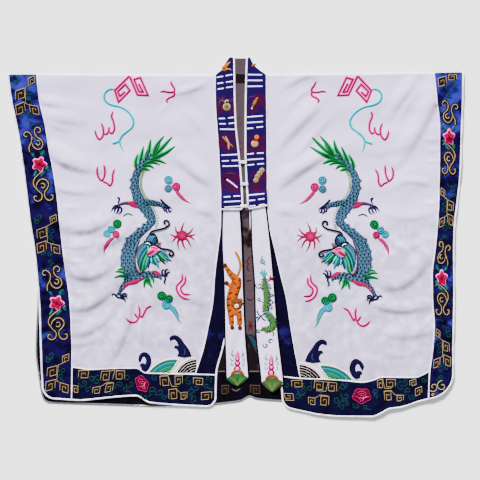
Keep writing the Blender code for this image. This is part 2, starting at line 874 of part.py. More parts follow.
def back_rim(lines, inset):
    """Points round the back's open edge, set in by inset: left side, foot, right side."""
    sides = {}
    for side in SIDES:
        net = back_side_net(lines, side, inset)
        sides[side] = [np.concatenate([grid[:-1, 0], grid[-1]]) for grid in net]
    foot = [grid[-1] for grid in back_foot_net(lines, inset)]
    return [
        np.concatenate([sides["left"][index], foot[index], sides["right"][index][::-1]])
        for index in range(2)
    ]


def build_back(collection):
    """The back, flat on the floor: panel, bands, piping and binding."""
    lines = back_lines()
    half = PIPING_WIDTH / 2
    gap = half + SEAM_GAP
    inset = BINDING_WIDTH + BINDING_GAP

    def add(name, net, colour):
        out, drop = net
        add_shell(name, flat_skins(1.0, out, drop, np.zeros_like(out), BACK_WALL), colour, collection)

    columns = back_middle_columns(lines, gap)
    counts = [BACK_SIDE_COLUMNS, BACK_MIDDLE_COLUMNS, BACK_SIDE_COLUMNS]
    panel_rows = [lines["shoulder"], level(BACK_HEM_SEAM - gap)]
    piping_rows = [level(BACK_HEM_SEAM - half), level(BACK_HEM_SEAM + half)]
    add("back", plan(columns, counts, panel_rows, [BACK_ROWS]), WHITE_SATIN)
    add("back_hem_piping", plan(columns, counts, piping_rows, [1]), WHITE_BINDING)
    add("back_hem_band", back_foot_net(lines, inset), BLUE_SATIN)
    for side in SIDES:
        add(f"back_side_band_{side}", back_side_net(lines, side, inset), BLUE_SATIN)
        seam = lines[f"{side}_seam"]
        net = plan([moved(seam, -half), moved(seam, half)], [1], *back_side_rows(lines, side, inset))
        add(f"back_side_piping_{side}", net, WHITE_BINDING)
    add("back_binding", strip(back_rim(lines, 0.0), back_rim(lines, BINDING_WIDTH)), WHITE_BINDING)


def front_rim(side, inset):
    """Points round a front's open edge: outer edge, foot, front edge up to the collar."""
    lines = LINES[side]
    rows, row_counts = front_rows(side, inset)
    net = plan(*side_band_columns(side, inset), rows, row_counts, corners=("first",))
    outer = [np.concatenate([grid[:-1, 0], grid[-1]]) for grid in net]
    rows = [
        level(UNDER_COLLAR),
        lines["hem_seam"],
        moved(lines["foot"], -FRONT_CORNER[side]),
        moved(lines["foot"], -inset),
    ]
    row_counts = [LOWER_ROWS, BAND_ROWS, CORNER_STEPS]
    net = plan(*hem_band_columns(side, inset), rows, row_counts, corners=("last",))
    inner = [np.concatenate([grid[-1], grid[:-1, -1][::-1]]) for grid in net]
    return [np.concatenate([outer[index], inner[index]]) for index in range(2)]


def build_front_bindings(collection):
    """White bias strips round the open edges of the fronts."""
    for side in SIDES:
        out, drop = strip(front_rim(side, 0.0), front_rim(side, BINDING_WIDTH))
        low = FRONT_BASE + cloth_rise(side, out, drop)
        skins = rolled_skins(SIGN[side], out, drop, low, BINDING_WALL)
        add_shell(f"front_binding_{side}", skins, WHITE_BINDING, collection)


def streamer_low(side, out, drop):
    """Lowest skin of a streamer: over the front edge's binding, then down onto the back."""
    past_edge = LINES[side]["front_edge"](drop) - out
    step_down = smooth_step(STREAMER_STEP_START, STREAMER_STEP_END, past_edge)
    below_collar = smooth_step(COLLAR_FOOT[side], COLLAR_FOOT[side] + 80.0, drop)
    return STREAMER_BASE - (STREAMER_BASE - FRONT_BASE) * step_down * below_collar


def streamer_net(side, inset):
    """Net of a streamer with its open edges set in by inset; its foot comes to a point."""
    outer = section_line(STREAMER_SECTIONS[side], "outer_edge")
    inner = section_line(STREAMER_SECTIONS[side], "inner_edge")
    corners = STREAMER_CORNERS[side]

    def foot(out):
        at = np.full_like(out, corners)
        middle = (outer(at) + inner(at)) / 2
        reach = (outer(at) - inner(at)) / 2
        off = np.clip(np.abs(out - middle) / reach, 0.0, 1.0)
        return corners + STREAMER_POINT * (1.0 - off**1.25) - inset * 1.2

    return plan(
        [moved(outer, -inset), moved(inner, inset)],
        [STREAMER_COLUMNS],
        [level(UNDER_COLLAR), level(corners - STREAMER_POINT), foot],
        [STREAMER_ROWS, STREAMER_POINT_ROWS],
    )


def build_streamers(collection):
    """The two hanging strips with black bindings."""
    for side in SIDES:
        out, drop = streamer_net(side, STREAMER_BINDING_WIDTH + BINDING_GAP)
        skins = flat_skins(SIGN[side], out, drop, streamer_low(side, out, drop), STREAMER_WALL)
        add_shell(f"streamer_{side}", skins, STREAMER_SATIN, collection)
        outside = rim(streamer_net(side, 0.0))
        inside = rim(streamer_net(side, STREAMER_BINDING_WIDTH))
        out, drop = strip(outside, inside)
        skins = flat_skins(SIGN[side], out, drop, streamer_low(side, out, drop), STREAMER_BINDING_WALL)
        add_shell(f"streamer_binding_{side}", skins, BLACK_BINDING, collection)


def build_closures(collection):
    """Three white tabs that hold the collar's edges together."""
    for closure in CLOSURES:
        half_length = CLOSURE_LENGTH / 2
        half_width = CLOSURE_WIDTH / 2
        out, drop = plan(
            [level(closure.across - half_length), level(closure.across + half_length)],
            [3],
            [level(closure.drop - half_width), level(closure.drop + half_width)],
            [2],
        )
        low = collar_low(drop + half_width) + COLLAR_BINDING_WALL + SEAM_GAP
        add_shell(closure.name, flat_skins(1.0, out, drop, low, CLOSURE_WALL), WHITE_BINDING, collection)


def main():
    """Build the robe in one collection."""
    clear_scene()
    collection = bpy.data.collections.new(ROBE_NAME)
    bpy.context.scene.collection.children.link(collection)
    build_back(collection)
    build_fields(collection)
    build_side_bands(collection)
    build_hem_bands(collection)
    build_edge_bands(collection)
    build_front_bindings(collection)
    build_front_piping(collection)
    build_collar(collection)
    build_streamers(collection)
    build_closures(collection)


main()
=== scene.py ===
"""Looks of a wide ritual robe laid flat: satin panels, bands, piping, bindings and embroidery.

Plan sizes are in millimetres: "out" is measured from the centre front towards one side, "across" is the same
with its sign, and "drop" runs down from the shoulder line. Embroidery is placed on a chart of 4 mm squares.
"""

import math
from collections import namedtuple

import bpy
import numpy as np
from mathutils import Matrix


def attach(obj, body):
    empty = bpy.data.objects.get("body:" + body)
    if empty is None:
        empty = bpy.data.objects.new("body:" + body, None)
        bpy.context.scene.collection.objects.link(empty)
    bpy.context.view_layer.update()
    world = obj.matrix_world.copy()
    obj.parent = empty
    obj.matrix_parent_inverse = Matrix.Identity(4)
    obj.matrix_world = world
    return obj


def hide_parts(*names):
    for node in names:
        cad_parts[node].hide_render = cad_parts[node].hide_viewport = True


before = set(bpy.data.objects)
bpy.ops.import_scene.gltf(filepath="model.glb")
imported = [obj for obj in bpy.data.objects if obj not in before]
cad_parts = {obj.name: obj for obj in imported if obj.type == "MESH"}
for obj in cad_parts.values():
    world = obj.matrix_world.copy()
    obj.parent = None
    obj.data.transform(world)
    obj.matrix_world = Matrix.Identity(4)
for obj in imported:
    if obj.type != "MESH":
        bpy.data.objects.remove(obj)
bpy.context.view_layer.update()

bl_info = {
    "name": "Ritual robe",
    "version": (1, 0, 0),
    "blender": (4, 5, 0),
    "location": "3D View > Sidebar > Robe",
    "description": "Makes the cloth, trimmings and embroidery of a ritual robe laid flat",
    "category": "Add Mesh",
}


def named_rows(kind, rows):
    """Rows of plain numbers as rows with named columns."""
    return tuple(kind(*row) for row in rows)


MM = 0.001
SIDES = ("left", "right")
SIGN = {"left": -1.0, "right": 1.0}

# Where the centre front and the shoulder line lie
CENTRE_X = 26.5
SHOULDER_Y = 648.8

# The embroidery chart: the size of a square, and where the centre front and the shoulder line lie on it
CHART_SQUARE = 4.0
CHART_CENTRE = 242.25
CHART_SHOULDER = 75.0

# Seams, strips and the heights of the layers
SEAM_GAP = 0.3
BINDING_GAP = 0.8
BACK_WALL = 2.0
FRONT_WALL = 2.0
FRONT_BASE = 2.3
PIPING_HALF = 2.5
PIPING_CLEAR = PIPING_HALF + SEAM_GAP
PIPING_WALL = 3.0
BINDING_WIDTH = 6.5
BINDING_INSET = BINDING_WIDTH + BINDING_GAP
BINDING_WALL = 2.6
COLLAR_WALL = 3.0
COLLAR_BINDING_WIDTH = 7.0
COLLAR_BINDING_WALL = 3.4
STREAMER_WALL = 1.6
STREAMER_BINDING_WIDTH = 6.0
STREAMER_BINDING_WALL = 2.0
STREAMER_BASE = 5.6
STREAMER_FALL = 80.0
COLLAR_END_BASE = 7.9
ROLL_INSIDE = 1.2
ROLL_STEPS = 6

# Edges that bend by more than this, in degrees, are shaded sharp
SHARP_ANGLE = 50.0

# How high the edges of piping and bindings stand, as shares of their middle
PIPING_EDGE = 0.45
BINDING_EDGE = 0.5
BACK_BINDING_EDGE = 0.6

# Rough lengths of the pieces, from which their grid steps are counted
FIELD_WIDTH = 640
SIDE_BAND_WIDTH = 110
SIDE_BAND_STEP = 9.0
EDGE_BAND_WIDTH = 75
HEM_BAND_LENGTH = 560
HEM_BAND_END = 45
HEM_BAND_DEPTH = 80
SKIRT_LENGTH = 680
SIDE_SKIRT_LENGTH = 660
SIDE_HEM_DEPTH = 60
STREAMER_LENGTH = 690
COLLAR_END_LENGTH = 27

# Grid steps that are the same at every grid distance
PIPING_STEPS = 5
COLLAR_STEPS = [8, 4]
COLLAR_END_STEPS = 4
NECK_STEPS = (24, 9)
STREAMER_STEPS = 14
STREAMER_POINT_STEPS = 8
CLOSURE_STEPS = (16, 8)
BACK_STEPS = [22, 40, 22]
BACK_LENGTH_STEPS = 110
BACK_HEM_STEPS = 12
BACK_SIDE_STEPS = [60, 6, 6]
BACK_BAND_STEPS = [6, 4]
BACK_PIPING_STEPS = 4

# Collar: its top above the shoulder line, its ends, and where it climbs over the streamers
COLLAR_TOP = -71.0
COLLAR_CLIMB = 452.0
COLLAR_CLIMBED = 500.0
UNDER_COLLAR = 515.0
COLLAR_CORNER = 14.0
COLLAR_FOOT = 541.0
COLLAR_FOOT_SLANT = {"left": 0.0, "right": -0.21}

# Radii of the rounded lower corners. A side band's second line is set in by a share of its radius at first,
# and by all of it once it has grown, between two drops
OUTER_CORNER = {"left": 48.0, "right": 84.0}
FRONT_CORNER = {"left": 40.0, "right": 32.0}
BACK_CORNER = {"left": 30.0, "right": 90.0}
CORNER_START = 0.6
CORNER_GROWS = (900.0, 1150.0)

# Shoulder line of each half: drop at the outer edge, at the side seam and at the front seam
SHOULDER = {"left": (-3.0, -3.0, 2.0), "right": (-12.0, -9.0, 0.0)}

# How far out the lines of each front lie, at each drop
FrontSection = namedtuple("FrontSection", "drop outer_edge side_seam front_seam front_edge")
FRONT_SECTIONS = {
    "left": named_rows(FrontSection, (
        (0, 940, 821, 108, 7), (100, 927, 810, 108, 7), (200, 906, 787, 102, 7), (300, 889, 771, 95, 7),
        (400, 875, 752, 90, 7), (500, 863, 738, 86, 7), (600, 850, 728, 87, 7), (700, 834, 716, 98, 18),
        (800, 824, 703, 110, 30), (900, 815, 689, 117, 37), (1000, 811, 683, 135, 55),
        (1100, 808, 680, 157, 77), (1200, 804, 681, 189, 101), (1340, 797, 683, 230, 104),
    )),
    "right": named_rows(FrontSection, (
        (0, 887, 768, 97, 29), (100, 886, 778, 98, 29), (200, 882, 789, 99, 29), (300, 879, 789, 100, 29),
        (400, 875, 788, 101, 29), (500, 865, 786, 102, 29), (600, 853, 781, 110, 31),
        (700, 850, 771, 132, 52), (800, 851, 760, 155, 75), (900, 851, 761, 179, 99),
        (1000, 849, 768, 194, 114), (1100, 847, 762, 211, 131), (1200, 847, 749, 230, 150),
        (1340, 846, 744, 254, 162),
    )),
}

# Drop of the hem seam and of the foot, by how far out they lie
HEM_SEAM = {
    "left": ((105, 1200), (253, 1196), (387, 1192), (422, 1173), (521, 1174), (602, 1178), (677, 1169)),
    "right": (
        (153, 1206), (233, 1214), (327, 1217), (415, 1223), (479, 1229), (523, 1221), (558, 1209),
        (688, 1210), (757, 1181),
    ),
}
FOOT = {
    "left": (
        (105, 1330), (209, 1326), (369, 1313), (425, 1286), (489, 1289), (569, 1297), (649, 1304),
        (729, 1299), (800, 1296),
    ),
    "right": (
        (153, 1326), (191, 1337), (231, 1346), (311, 1362), (391, 1369), (519, 1370), (551, 1358),
        (591, 1338), (631, 1333), (711, 1308), (751, 1298), (860, 1276),
    ),
}

# Collar lines against the drop: the inner edge, and the outer edge above the shoulder
COLLAR_INNER = {
    "left": ((-71, 29), (0, 28), (100, 26), (200, 22), (300, 12), (400, 2), (500, -4), (560, -5)),
    "right": ((-71, 16), (0, 13), (100, 11), (200, 10), (300, 10), (400, 13), (500, 19), (560, 22)),
}
COLLAR_SHOULDER = {
    "left": ((-71, 53), (-44, 70), (-18, 86)),
    "right": ((-71, 34), (-44, 46), (-18, 74)),
}

# Streamers against the drop: outer and inner edge
StreamerSection = namedtuple("StreamerSection", "drop outer_edge inner_edge")
STREAMER_SECTIONS = {
    "left": named_rows(StreamerSection, (
        (515, 82, 7), (660, 84, -2), (844, 76, -8), (1020, 73, -15), (1212, 68, -30), (1260, 67, -33),
    )),
    "right": named_rows(StreamerSection, (
        (515, 97, 31), (660, 114, 34), (844, 131, 46), (1020, 145, 51), (1228, 169, 72), (1290, 174, 76),
    )),
}
STREAMER_CORNERS = {"left": 1210.0, "right": 1236.0}
STREAMER_POINT = 37.0
POINT_BEND = 1.25
POINT_INSET = 1.2
STREAMER_STEP_START = 24.0
STREAMER_STEP_END = 62.0

# Back: how far across its sides lie at each drop, and the drop of its foot
BackSection = namedtuple("BackSection", "drop left_edge right_edge")
BACK_SECTIONS = named_rows(BackSection, (
    (0, 931, 878), (200, 898, 873), (400, 867, 866), (600, 842, 844), (800, 819, 841), (900, 820, 841),
    (1000, 825, 840), (1100, 828, 838), (1200, 818, 837), (1320, 797, 836),
))
BACK_BAND_WIDTH = 105.0
BACK_HEM_SEAM = 1186.0
BACK_FOOT = (
    (-800, 1312), (-649, 1318), (-489, 1323), (-369, 1327), (-200, 1321), (-121, 1320), (-49, 1313),
    (-9, 1307), (31, 1289), (55, 1298), (111, 1304), (200, 1310), (350, 1350), (520, 1354), (600, 1322),
    (740, 1290), (840, 1268),
)

# Large folds: a ridge along a bent line through three points
Fold = namedtuple("Fold", "out_1 drop_1 out_2 drop_2 out_3 drop_3 half_width height")
FOLDS = {
    "left": named_rows(Fold, (
        (793, 252, 705, 344, 569, 372, 48, 11), (737, 584, 617, 612, 489, 524, 44, 8),
        (721, 732, 633, 800, 521, 748, 46, 10), (713, 912, 601, 912, 481, 796, 42, 9),
        (705, 1028, 609, 1016, 505, 916, 38, 6), (457, 900, 485, 1040, 553, 1164, 40, 7),
        (265, 308, 185, 388, 81, 452, 46, 11), (201, 528, 137, 544, 73, 560, 38, 6),
        (225, 884, 169, 904, 105, 924, 36, 5), (801, 148, 737, 172, 657, 188, 36, 4),
    )),
    "right": named_rows(Fold, (
        (327, 88, 223, 196, 111, 316, 42, 7), (359, 292, 243, 368, 103, 452, 40, 9),
        (783, 28, 727, 172, 615, 356, 46, 9), (695, 4, 647, 72, 583, 164, 34, 6),
        (527, 804, 639, 832, 759, 692, 46, 9), (511, 896, 611, 936, 743, 920, 34, 7),
        (551, 1024, 663, 1036, 783, 1000, 40, 5), (255, 860, 223, 988, 191, 1100, 36, 5),
        (95, 528, 151, 540, 223, 552, 34, 5), (471, 940, 499, 1108, 495, 1284, 42, 5),
    )),
}

# Creases: chart places of the first, middle and last point, half width and height in millimetres
Crease = namedtuple("Crease", "x1 y1 x2 y2 x3 y3 half_width height")
CREASES = {
    "left": named_rows(Crease, (
        (38, 99, 50, 103, 64, 105, 30, 6), (56, 186, 70, 191, 92, 192, 26, 4),
        (60, 243, 76, 246, 94, 243, 26, 3), (100, 247, 112, 241, 126, 230, 28, 4),
        (172, 93, 192, 89, 214, 79, 22, 4), (156, 117, 166, 106, 178, 94, 10, 1.8),
        (46, 120, 58, 127, 72, 130, 20, 2.5), (66, 340, 80, 344, 100, 338, 20, 2.5),
        (141, 296, 141, 325, 140, 350, 16, 3), (131, 292, 130, 312, 128, 330, 16, 3),
        (178, 104, 196, 122, 216, 146, 30, 2.5), (205, 186, 212, 193, 220, 198, 16, 2.5),
        (196, 322, 206, 322, 216, 318, 18, 4), (56, 160, 62, 163, 70, 164, 16, 1.2),
        (62, 206, 70, 208, 80, 207, 12, 2), (66, 258, 74, 262, 84, 262, 14, 2.5),
        (70, 290, 78, 294, 88, 293, 12, 2), (72, 318, 80, 321, 90, 319, 12, 2),
        (18, 92, 26, 100, 42, 98, 9, 2), (24, 142, 36, 140, 50, 146, 9, 2.2),
        (36, 198, 46, 202, 60, 201, 9, 2), (44, 262, 54, 270, 68, 276, 10, 2.4),
        (50, 348, 62, 344, 76, 346, 9, 2), (34, 222, 44, 218, 58, 224, 8, 1.6),
        (48, 318, 58, 322, 70, 318, 8, 1.8), (28, 118, 36, 124, 48, 124, 8, 1.6),
    )),
    "right": named_rows(Crease, (
        (316, 73, 300, 78, 280, 90, 26, 4), (396, 186, 412, 181, 434, 187, 22, 3),
        (424, 139, 431, 140, 439, 138, 10, 2), (426, 149, 433, 151, 441, 150, 10, 2),
        (426, 160, 433, 162, 441, 160, 10, 2), (424, 203, 432, 204, 440, 200, 12, 2.5),
        (400, 120, 406, 108, 414, 96, 14, 2), (312, 88, 300, 96, 286, 108, 18, 2.5),
        (330, 118, 312, 138, 292, 160, 22, 3), (300, 176, 286, 184, 270, 196, 14, 2),
        (304, 262, 294, 274, 286, 292, 24, 3), (306, 326, 298, 340, 293, 352, 20, 4),
        (392, 244, 408, 247, 428, 238, 24, 2.5), (388, 214, 410, 218, 436, 210, 26, 2.5),
        (420, 330, 428, 322, 436, 312, 12, 2), (348, 306, 348, 330, 347, 352, 16, 2),
        (386, 352, 400, 356, 420, 352, 18, 2), (430, 100, 438, 104, 450, 98, 9, 2),
        (442, 142, 450, 138, 460, 144, 8, 1.8), (432, 196, 444, 200, 458, 194, 9, 2.2),
        (434, 262, 444, 258, 456, 264, 9, 2.2), (432, 318, 442, 322, 454, 316, 9, 2),
        (430, 352, 440, 348, 452, 354, 9, 2), (440, 232, 448, 228, 456, 234, 8, 1.6),
    )),
}

# Folds: the share of their height that shows, the points along a crest, and how wide each of its sides is
FOLD_SHARE = 0.85
FOLD_POINTS = 9
GENTLE_SHARE = 1.25
STEEP_SHARE = 0.72

# How far past the front seam the cloth stays flat, and where it has its full folds
CALM_STRIP = 6.0
CALM_REACH = 70.0

# How often places and lines of a net are set against each other, and the drop they start from
NET_ROUNDS = 9
NET_START = 600.0

# Ripples of a front: wavelength and height of the long, the short and the side band's ones
RIPPLE_SEED = {"left": 3, "right": 8}
LONG_RIPPLES = (170.0, 3.6)
SHORT_RIPPLES = (46.0, 0.6)
BAND_RIPPLES = (24.0, 1.1)
BAND_RIPPLES_FADE = 12.0

# Closures: place across the centre front, drop, and the tab's size
Closure = namedtuple("Closure", "name across drop")
CLOSURES = (
    Closure("closure_upper", 2.0, 348.0),
    Closure("closure_middle", 8.0, 436.0),
    Closure("closure_lower", 8.5, 524.0),
)
CLOSURE_LENGTH = 30.0
CLOSURE_WIDTH = 12.0
CLOSURE_WALL = 1.6

# Stage: the camera looks straight down at the middle of the spread robe
CAMERA_X = 0.0176
CAMERA_Y = -0.0112
CAMERA_HEIGHT = 6.0
CAMERA_SENSOR = 36.0
CAMERA_LENS = 112.4
FLOOR_HEIGHT = -0.0004
SKY_COLOUR = (0.95, 0.97, 1.0, 1.0)
SKY_STRENGTH = 0.48
Light = namedtuple("Light", "name direction strength spread colour")
LIGHT_DISTANCE = 3.0
LIGHTS = (
    Light("key light", (0.30, -0.90, -0.37), 23.0, 0.20, (1.0, 0.99, 0.98)),
    Light("side light", (-0.6, 0.2, -1.0), 0.54, 0.60, (0.97, 0.98, 1.0)),
)


# Lines and nets of the plan


def smooth_line(points):
    """Function through (place, value) rows, without overshoot, level beyond both ends."""
    rows = sorted(tuple(point)[:2] for point in points)
    places = np.array([row[0] for row in rows], dtype=float)
    values = np.array([row[1] for row in rows], dtype=float)
    spans = np.diff(places)
    steps = np.diff(values) / spans
    slopes = np.zeros_like(values)
    agree = steps[:-1] * steps[1:] > 0
    inner = np.zeros_like(steps[1:])
    inner[agree] = 2.0 * steps[:-1][agree] * steps[1:][agree] / (steps[:-1][agree] + steps[1:][agree])
    slopes[1:-1] = inner
    slopes[0] = steps[0]
    slopes[-1] = steps[-1]

    def line(at):
        at = np.clip(at, places[0], places[-1])
        index = np.clip(np.searchsorted(places, at, side="right") - 1, 0, len(spans) - 1)
        span = spans[index]
        part = (at - places[index]) / span
        rest = 1.0 - part
        start = values[index] * (1.0 + 2.0 * part) * rest * rest
        end = values[index + 1] * (1.0 + 2.0 * rest) * part * part
        lean = slopes[index] * part * rest * rest - slopes[index + 1] * rest * part * part
        return start + end + lean * span

    return line


def straight_line(points):
    """Function through (place, value) rows with straight stretches."""
    rows = sorted(tuple(point) for point in points)
    places = [float(row[0]) for row in rows]
    values = [float(row[1]) for row in rows]
    return lambda at: np.interp(at, places, values)


def level(value):
    """Line that has one value everywhere."""
    return lambda at: np.full_like(at, value, dtype=float)


def moved(line, shift):
    """The line with shift added to its values."""
    return lambda at: line(at) + shift


def beside(line, shift):
    """The line moved square to itself by shift, positive towards larger values."""

    def shifted(at):
        slope = (line(at + 1.0) - line(at - 1.0)) / 2.0
        return line(at) + shift * np.sqrt(1.0 + slope * slope)

    return shifted


def smooth_step(start, end, at):
    """0 before start, 1 after end, eased between."""
    part = np.clip((at - start) / (end - start), 0.0, 1.0)
    return part * part * (3.0 - 2.0 * part)


def section_line(sections, column):
    """Smooth line of one named column of a table against its drop."""
    return smooth_line([(row.drop, getattr(row, column)) for row in sections])


def corner_line(side, outer_edge):
    """Line down a side band that meets the foot where the rounded outer corner ends."""
    radius = OUTER_CORNER[side]
    return lambda drop: outer_edge(drop) - radius * (
        CORNER_START + (1.0 - CORNER_START) * smooth_step(*CORNER_GROWS, drop)
    )


def front_lines(side):
    """All lines of one front: by drop for the upright ones, by out for the level ones."""
    sections = FRONT_SECTIONS[side]
    shoulder = SHOULDER[side]
    top = sections[0]
    front_seam = [(row.drop, row.front_seam) for row in sections]
    front_seam += list(COLLAR_SHOULDER[side])
    outer_edge = section_line(sections, "outer_edge")
    places = (top.outer_edge, top.side_seam, top.front_seam)
    return {
        "outer_edge": outer_edge,
        "outer_corner": corner_line(side, outer_edge),
        "side_seam": section_line(sections, "side_seam"),
        "front_seam": smooth_line(front_seam),
        "front_edge": section_line(sections, "front_edge"),
        "shoulder": straight_line(list(zip(places, shoulder))),
        "hem_seam": smooth_line(HEM_SEAM[side]),
        "foot": smooth_line(FOOT[side]),
        "collar_inner": smooth_line(COLLAR_INNER[side]),
    }


LINES = {side: front_lines(side) for side in SIDES}


def places_along(counts):
    """Places 0, 1, 2 ... at the lines, with the given number of steps between neighbours."""
    places = [0.0]
    for index, count in enumerate(counts):
        places.extend(index + step / count for step in range(1, count + 1))
    return np.array(places)


def between(lines, places, at):
    """Value at each place between the lines, each line read where the point lies."""
    values = np.stack([line(at) for line in lines])
    index = np.minimum(places.astype(int), len(lines) - 2)
    part = places - index
    lower = np.take_along_axis(values, index[None], axis=0)[0]
    upper = np.take_along_axis(values, index[None] + 1, axis=0)[0]
    return lower * (1.0 - part) + upper * part


def rounded_places(columns, rows, corners, last_column, last_row):
    """Bend the square of places at a lower corner into a quarter disc."""
    down = np.clip(rows - (last_row - 1), 0.0, 1.0)
    for corner in corners:
        first = corner == "first"
        aside = np.clip(1.0 - columns if first else columns - (last_column - 1), 0.0, 1.0)
        bent = aside * np.sqrt(1.0 - down * down / 2.0)
        columns = np.where(aside > 0.0, 1.0 - bent if first else last_column - 1 + bent, columns)
        rows = np.where(down > 0.0, last_row - 1 + down * np.sqrt(1.0 - aside * aside / 2.0), rows)
    return columns, rows


def plan(column_lines, column_counts, row_lines, row_counts, corners=()):
    """Net of plan points between upright lines and level lines: arrays of out and drop."""
    columns, rows = np.meshgrid(places_along(column_counts), places_along(row_counts))
    if corners:
        columns, rows = rounded_places(columns, rows, corners, len(column_counts), len(row_counts))
    out = between(column_lines, columns, np.full_like(columns, NET_START))
    drop = between(row_lines, rows, out)
    for _ in range(NET_ROUNDS):
        out = between(column_lines, columns, drop)
        drop = between(row_lines, rows, out)
    return out, drop


# Folds, creases and the heights of the layers


def ridge(points, half_width, height, out, drop):
    """Ridge along a parabola through three points. Its height falls to the sides as the square of one less
    the squared distance, and to the ends as a power of a sine. Its side towards the shoulder is wide and
    gentle, and the one towards the hem steep."""
    part = np.linspace(0.0, 1.0, FOLD_POINTS)
    weights = ((1 - part) * (1 - 2 * part), 4 * part * (1 - part), part * (2 * part - 1))
    crest_out = sum(weight * point[0] for weight, point in zip(weights, points))
    crest_drop = sum(weight * point[1] for weight, point in zip(weights, points))
    reach = half_width * GENTLE_SHARE
    near = (
        (out > crest_out.min() - reach)
        & (out < crest_out.max() + reach)
        & (drop > crest_drop.min() - reach)
        & (drop < crest_drop.max() + reach)
    )
    at_out = out[near]
    at_drop = drop[near]
    nearest = np.full(at_out.shape, np.inf)
    along = np.zeros(at_out.shape)
    below = np.zeros(at_out.shape)
    for index in range(FOLD_POINTS - 1):
        run_out = crest_out[index + 1] - crest_out[index]
        run_drop = crest_drop[index + 1] - crest_drop[index]
        length = run_out * run_out + run_drop * run_drop
        step = ((at_out - crest_out[index]) * run_out + (at_drop - crest_drop[index]) * run_drop) / length
        step = np.clip(step, 0.0, 1.0)
        gap_drop = at_drop - crest_drop[index] - step * run_drop
        gap = np.hypot(at_out - crest_out[index] - step * run_out, gap_drop)
        closer = gap < nearest
        nearest = np.where(closer, gap, nearest)
        below = np.where(closer, gap_drop, below)
        along = np.where(closer, (index + step) / (FOLD_POINTS - 1), along)
    steepness = 0.5 + 0.5 * np.tanh(below / (0.25 * half_width))
    width = half_width * (GENTLE_SHARE + (STEEP_SHARE - GENTLE_SHARE) * steepness)
    side_fade = np.clip(1.0 - (nearest / width) ** 2, 0.0, None) ** 2
    end_fade = np.sin(math.pi * np.clip(along, 0.08, 0.92)) ** 0.7
    rise = np.zeros(out.shape)
    rise[near] = height * side_fade * end_fade
    return rise


def ripples(seed, wavelength, height, out, drop, count=7):
    """Soft uneven waves: a seeded sum of sines in all directions, from 0 to height."""
    random = np.random.default_rng(seed)
    total = np.zeros(out.shape)
    for _ in range(count):
        angle = random.uniform(0.0, math.pi)
        length = wavelength * random.uniform(0.7, 1.5)
        phase = random.uniform(0.0, 2.0 * math.pi)
        total += np.sin((out * math.cos(angle) + drop * math.sin(angle)) * 2.0 * math.pi / length + phase)
    return height * (0.5 + 0.5 * np.tanh(total / math.sqrt(count)))


def from_chart(x, y):
    """Across and drop in millimetres of a chart place."""
    return (x - CHART_CENTRE) * CHART_SQUARE, (y - CHART_SHOULDER) * CHART_SQUARE


def cloth_rise(side, out, drop):
    """How far folds, creases and ripples lift a front; nothing rises at the front seam or inside it."""
    rise = np.zeros(out.shape)
    for fold in FOLDS[side]:
        points = ((fold.out_1, fold.drop_1), (fold.out_2, fold.drop_2), (fold.out_3, fold.drop_3))
        rise = rise + ridge(points, fold.half_width, fold.height * FOLD_SHARE, out, drop)
    for crease in CREASES[side]:
        points = []
        for x, y in ((crease.x1, crease.y1), (crease.x2, crease.y2), (crease.x3, crease.y3)):
            across, down = from_chart(x, y)
            points.append((across * SIGN[side], down))
        rise = rise + ridge(points, crease.half_width, crease.height, out, drop)
    seed = RIPPLE_SEED[side]
    rise = rise + ripples(seed, *LONG_RIPPLES, out, drop) + ripples(seed + 1, *SHORT_RIPPLES, out, drop)
    past_side = out - LINES[side]["side_seam"](drop)
    rise = rise + ripples(seed + 2, *BAND_RIPPLES, out, drop) * smooth_step(0.0, BAND_RIPPLES_FADE, past_side)
    past_seam = out - LINES[side]["front_seam"](drop)
    return rise * smooth_step(CALM_STRIP, CALM_REACH, past_seam)


def front_low(side, out, drop):
    """Lowest skin of a front."""
    return FRONT_BASE + cloth_rise(side, out, drop)


def collar_low(drop):
    """Lowest skin of the collar, which climbs over the streamers at its ends."""
    climb = smooth_step(COLLAR_CLIMB, COLLAR_CLIMBED, drop)
    return FRONT_BASE + (COLLAR_END_BASE - FRONT_BASE) * climb


def streamer_low(side, out, drop):
    """Lowest skin of a streamer: over the front edge's binding, then down onto the back."""
    past_edge = LINES[side]["front_edge"](drop) - out
    step_down = smooth_step(STREAMER_STEP_START, STREAMER_STEP_END, past_edge)
    below_collar = smooth_step(COLLAR_FOOT, COLLAR_FOOT + STREAMER_FALL, drop)
    return STREAMER_BASE - (STREAMER_BASE - FRONT_BASE) * step_down * below_collar


# Meshes from arrays

def to_world(sign, out, drop, height):
    """Plan place and height as world points in metres."""
    x = CENTRE_X + sign * out
    y = SHOULDER_Y - drop
    return np.stack([x, y, height], axis=-1) * MM


def flat_skins(sign, out, drop, low, wall):
    """Lower and upper skin of a piece whose lowest skin is at the heights low."""
    return to_world(sign, out, drop, low), to_world(sign, out, drop, low + wall)


def rolled_skins(sign, out, drop, low, wall):
    """Skins of a piece whose first row turns over in a quarter circle and runs down to the floor."""
    wall = np.broadcast_to(wall, out.shape)
    low_rows = []
    up_rows = []
    for step in range(ROLL_STEPS, 0, -1):
        angle = math.pi / 2 * step / ROLL_STEPS
        inside = drop[0] - ROLL_INSIDE * math.sin(angle)
        outside = drop[0] - (ROLL_INSIDE + wall[0]) * math.sin(angle)
        low_rows.append(to_world(sign, out[0], inside, low[0] * math.cos(angle)))
        up_rows.append(to_world(sign, out[0], outside, (low[0] + wall[0]) * math.cos(angle)))
    lower, upper = flat_skins(sign, out, drop, low, wall)
    return np.concatenate([np.stack(low_rows), lower]), np.concatenate([np.stack(up_rows), upper])


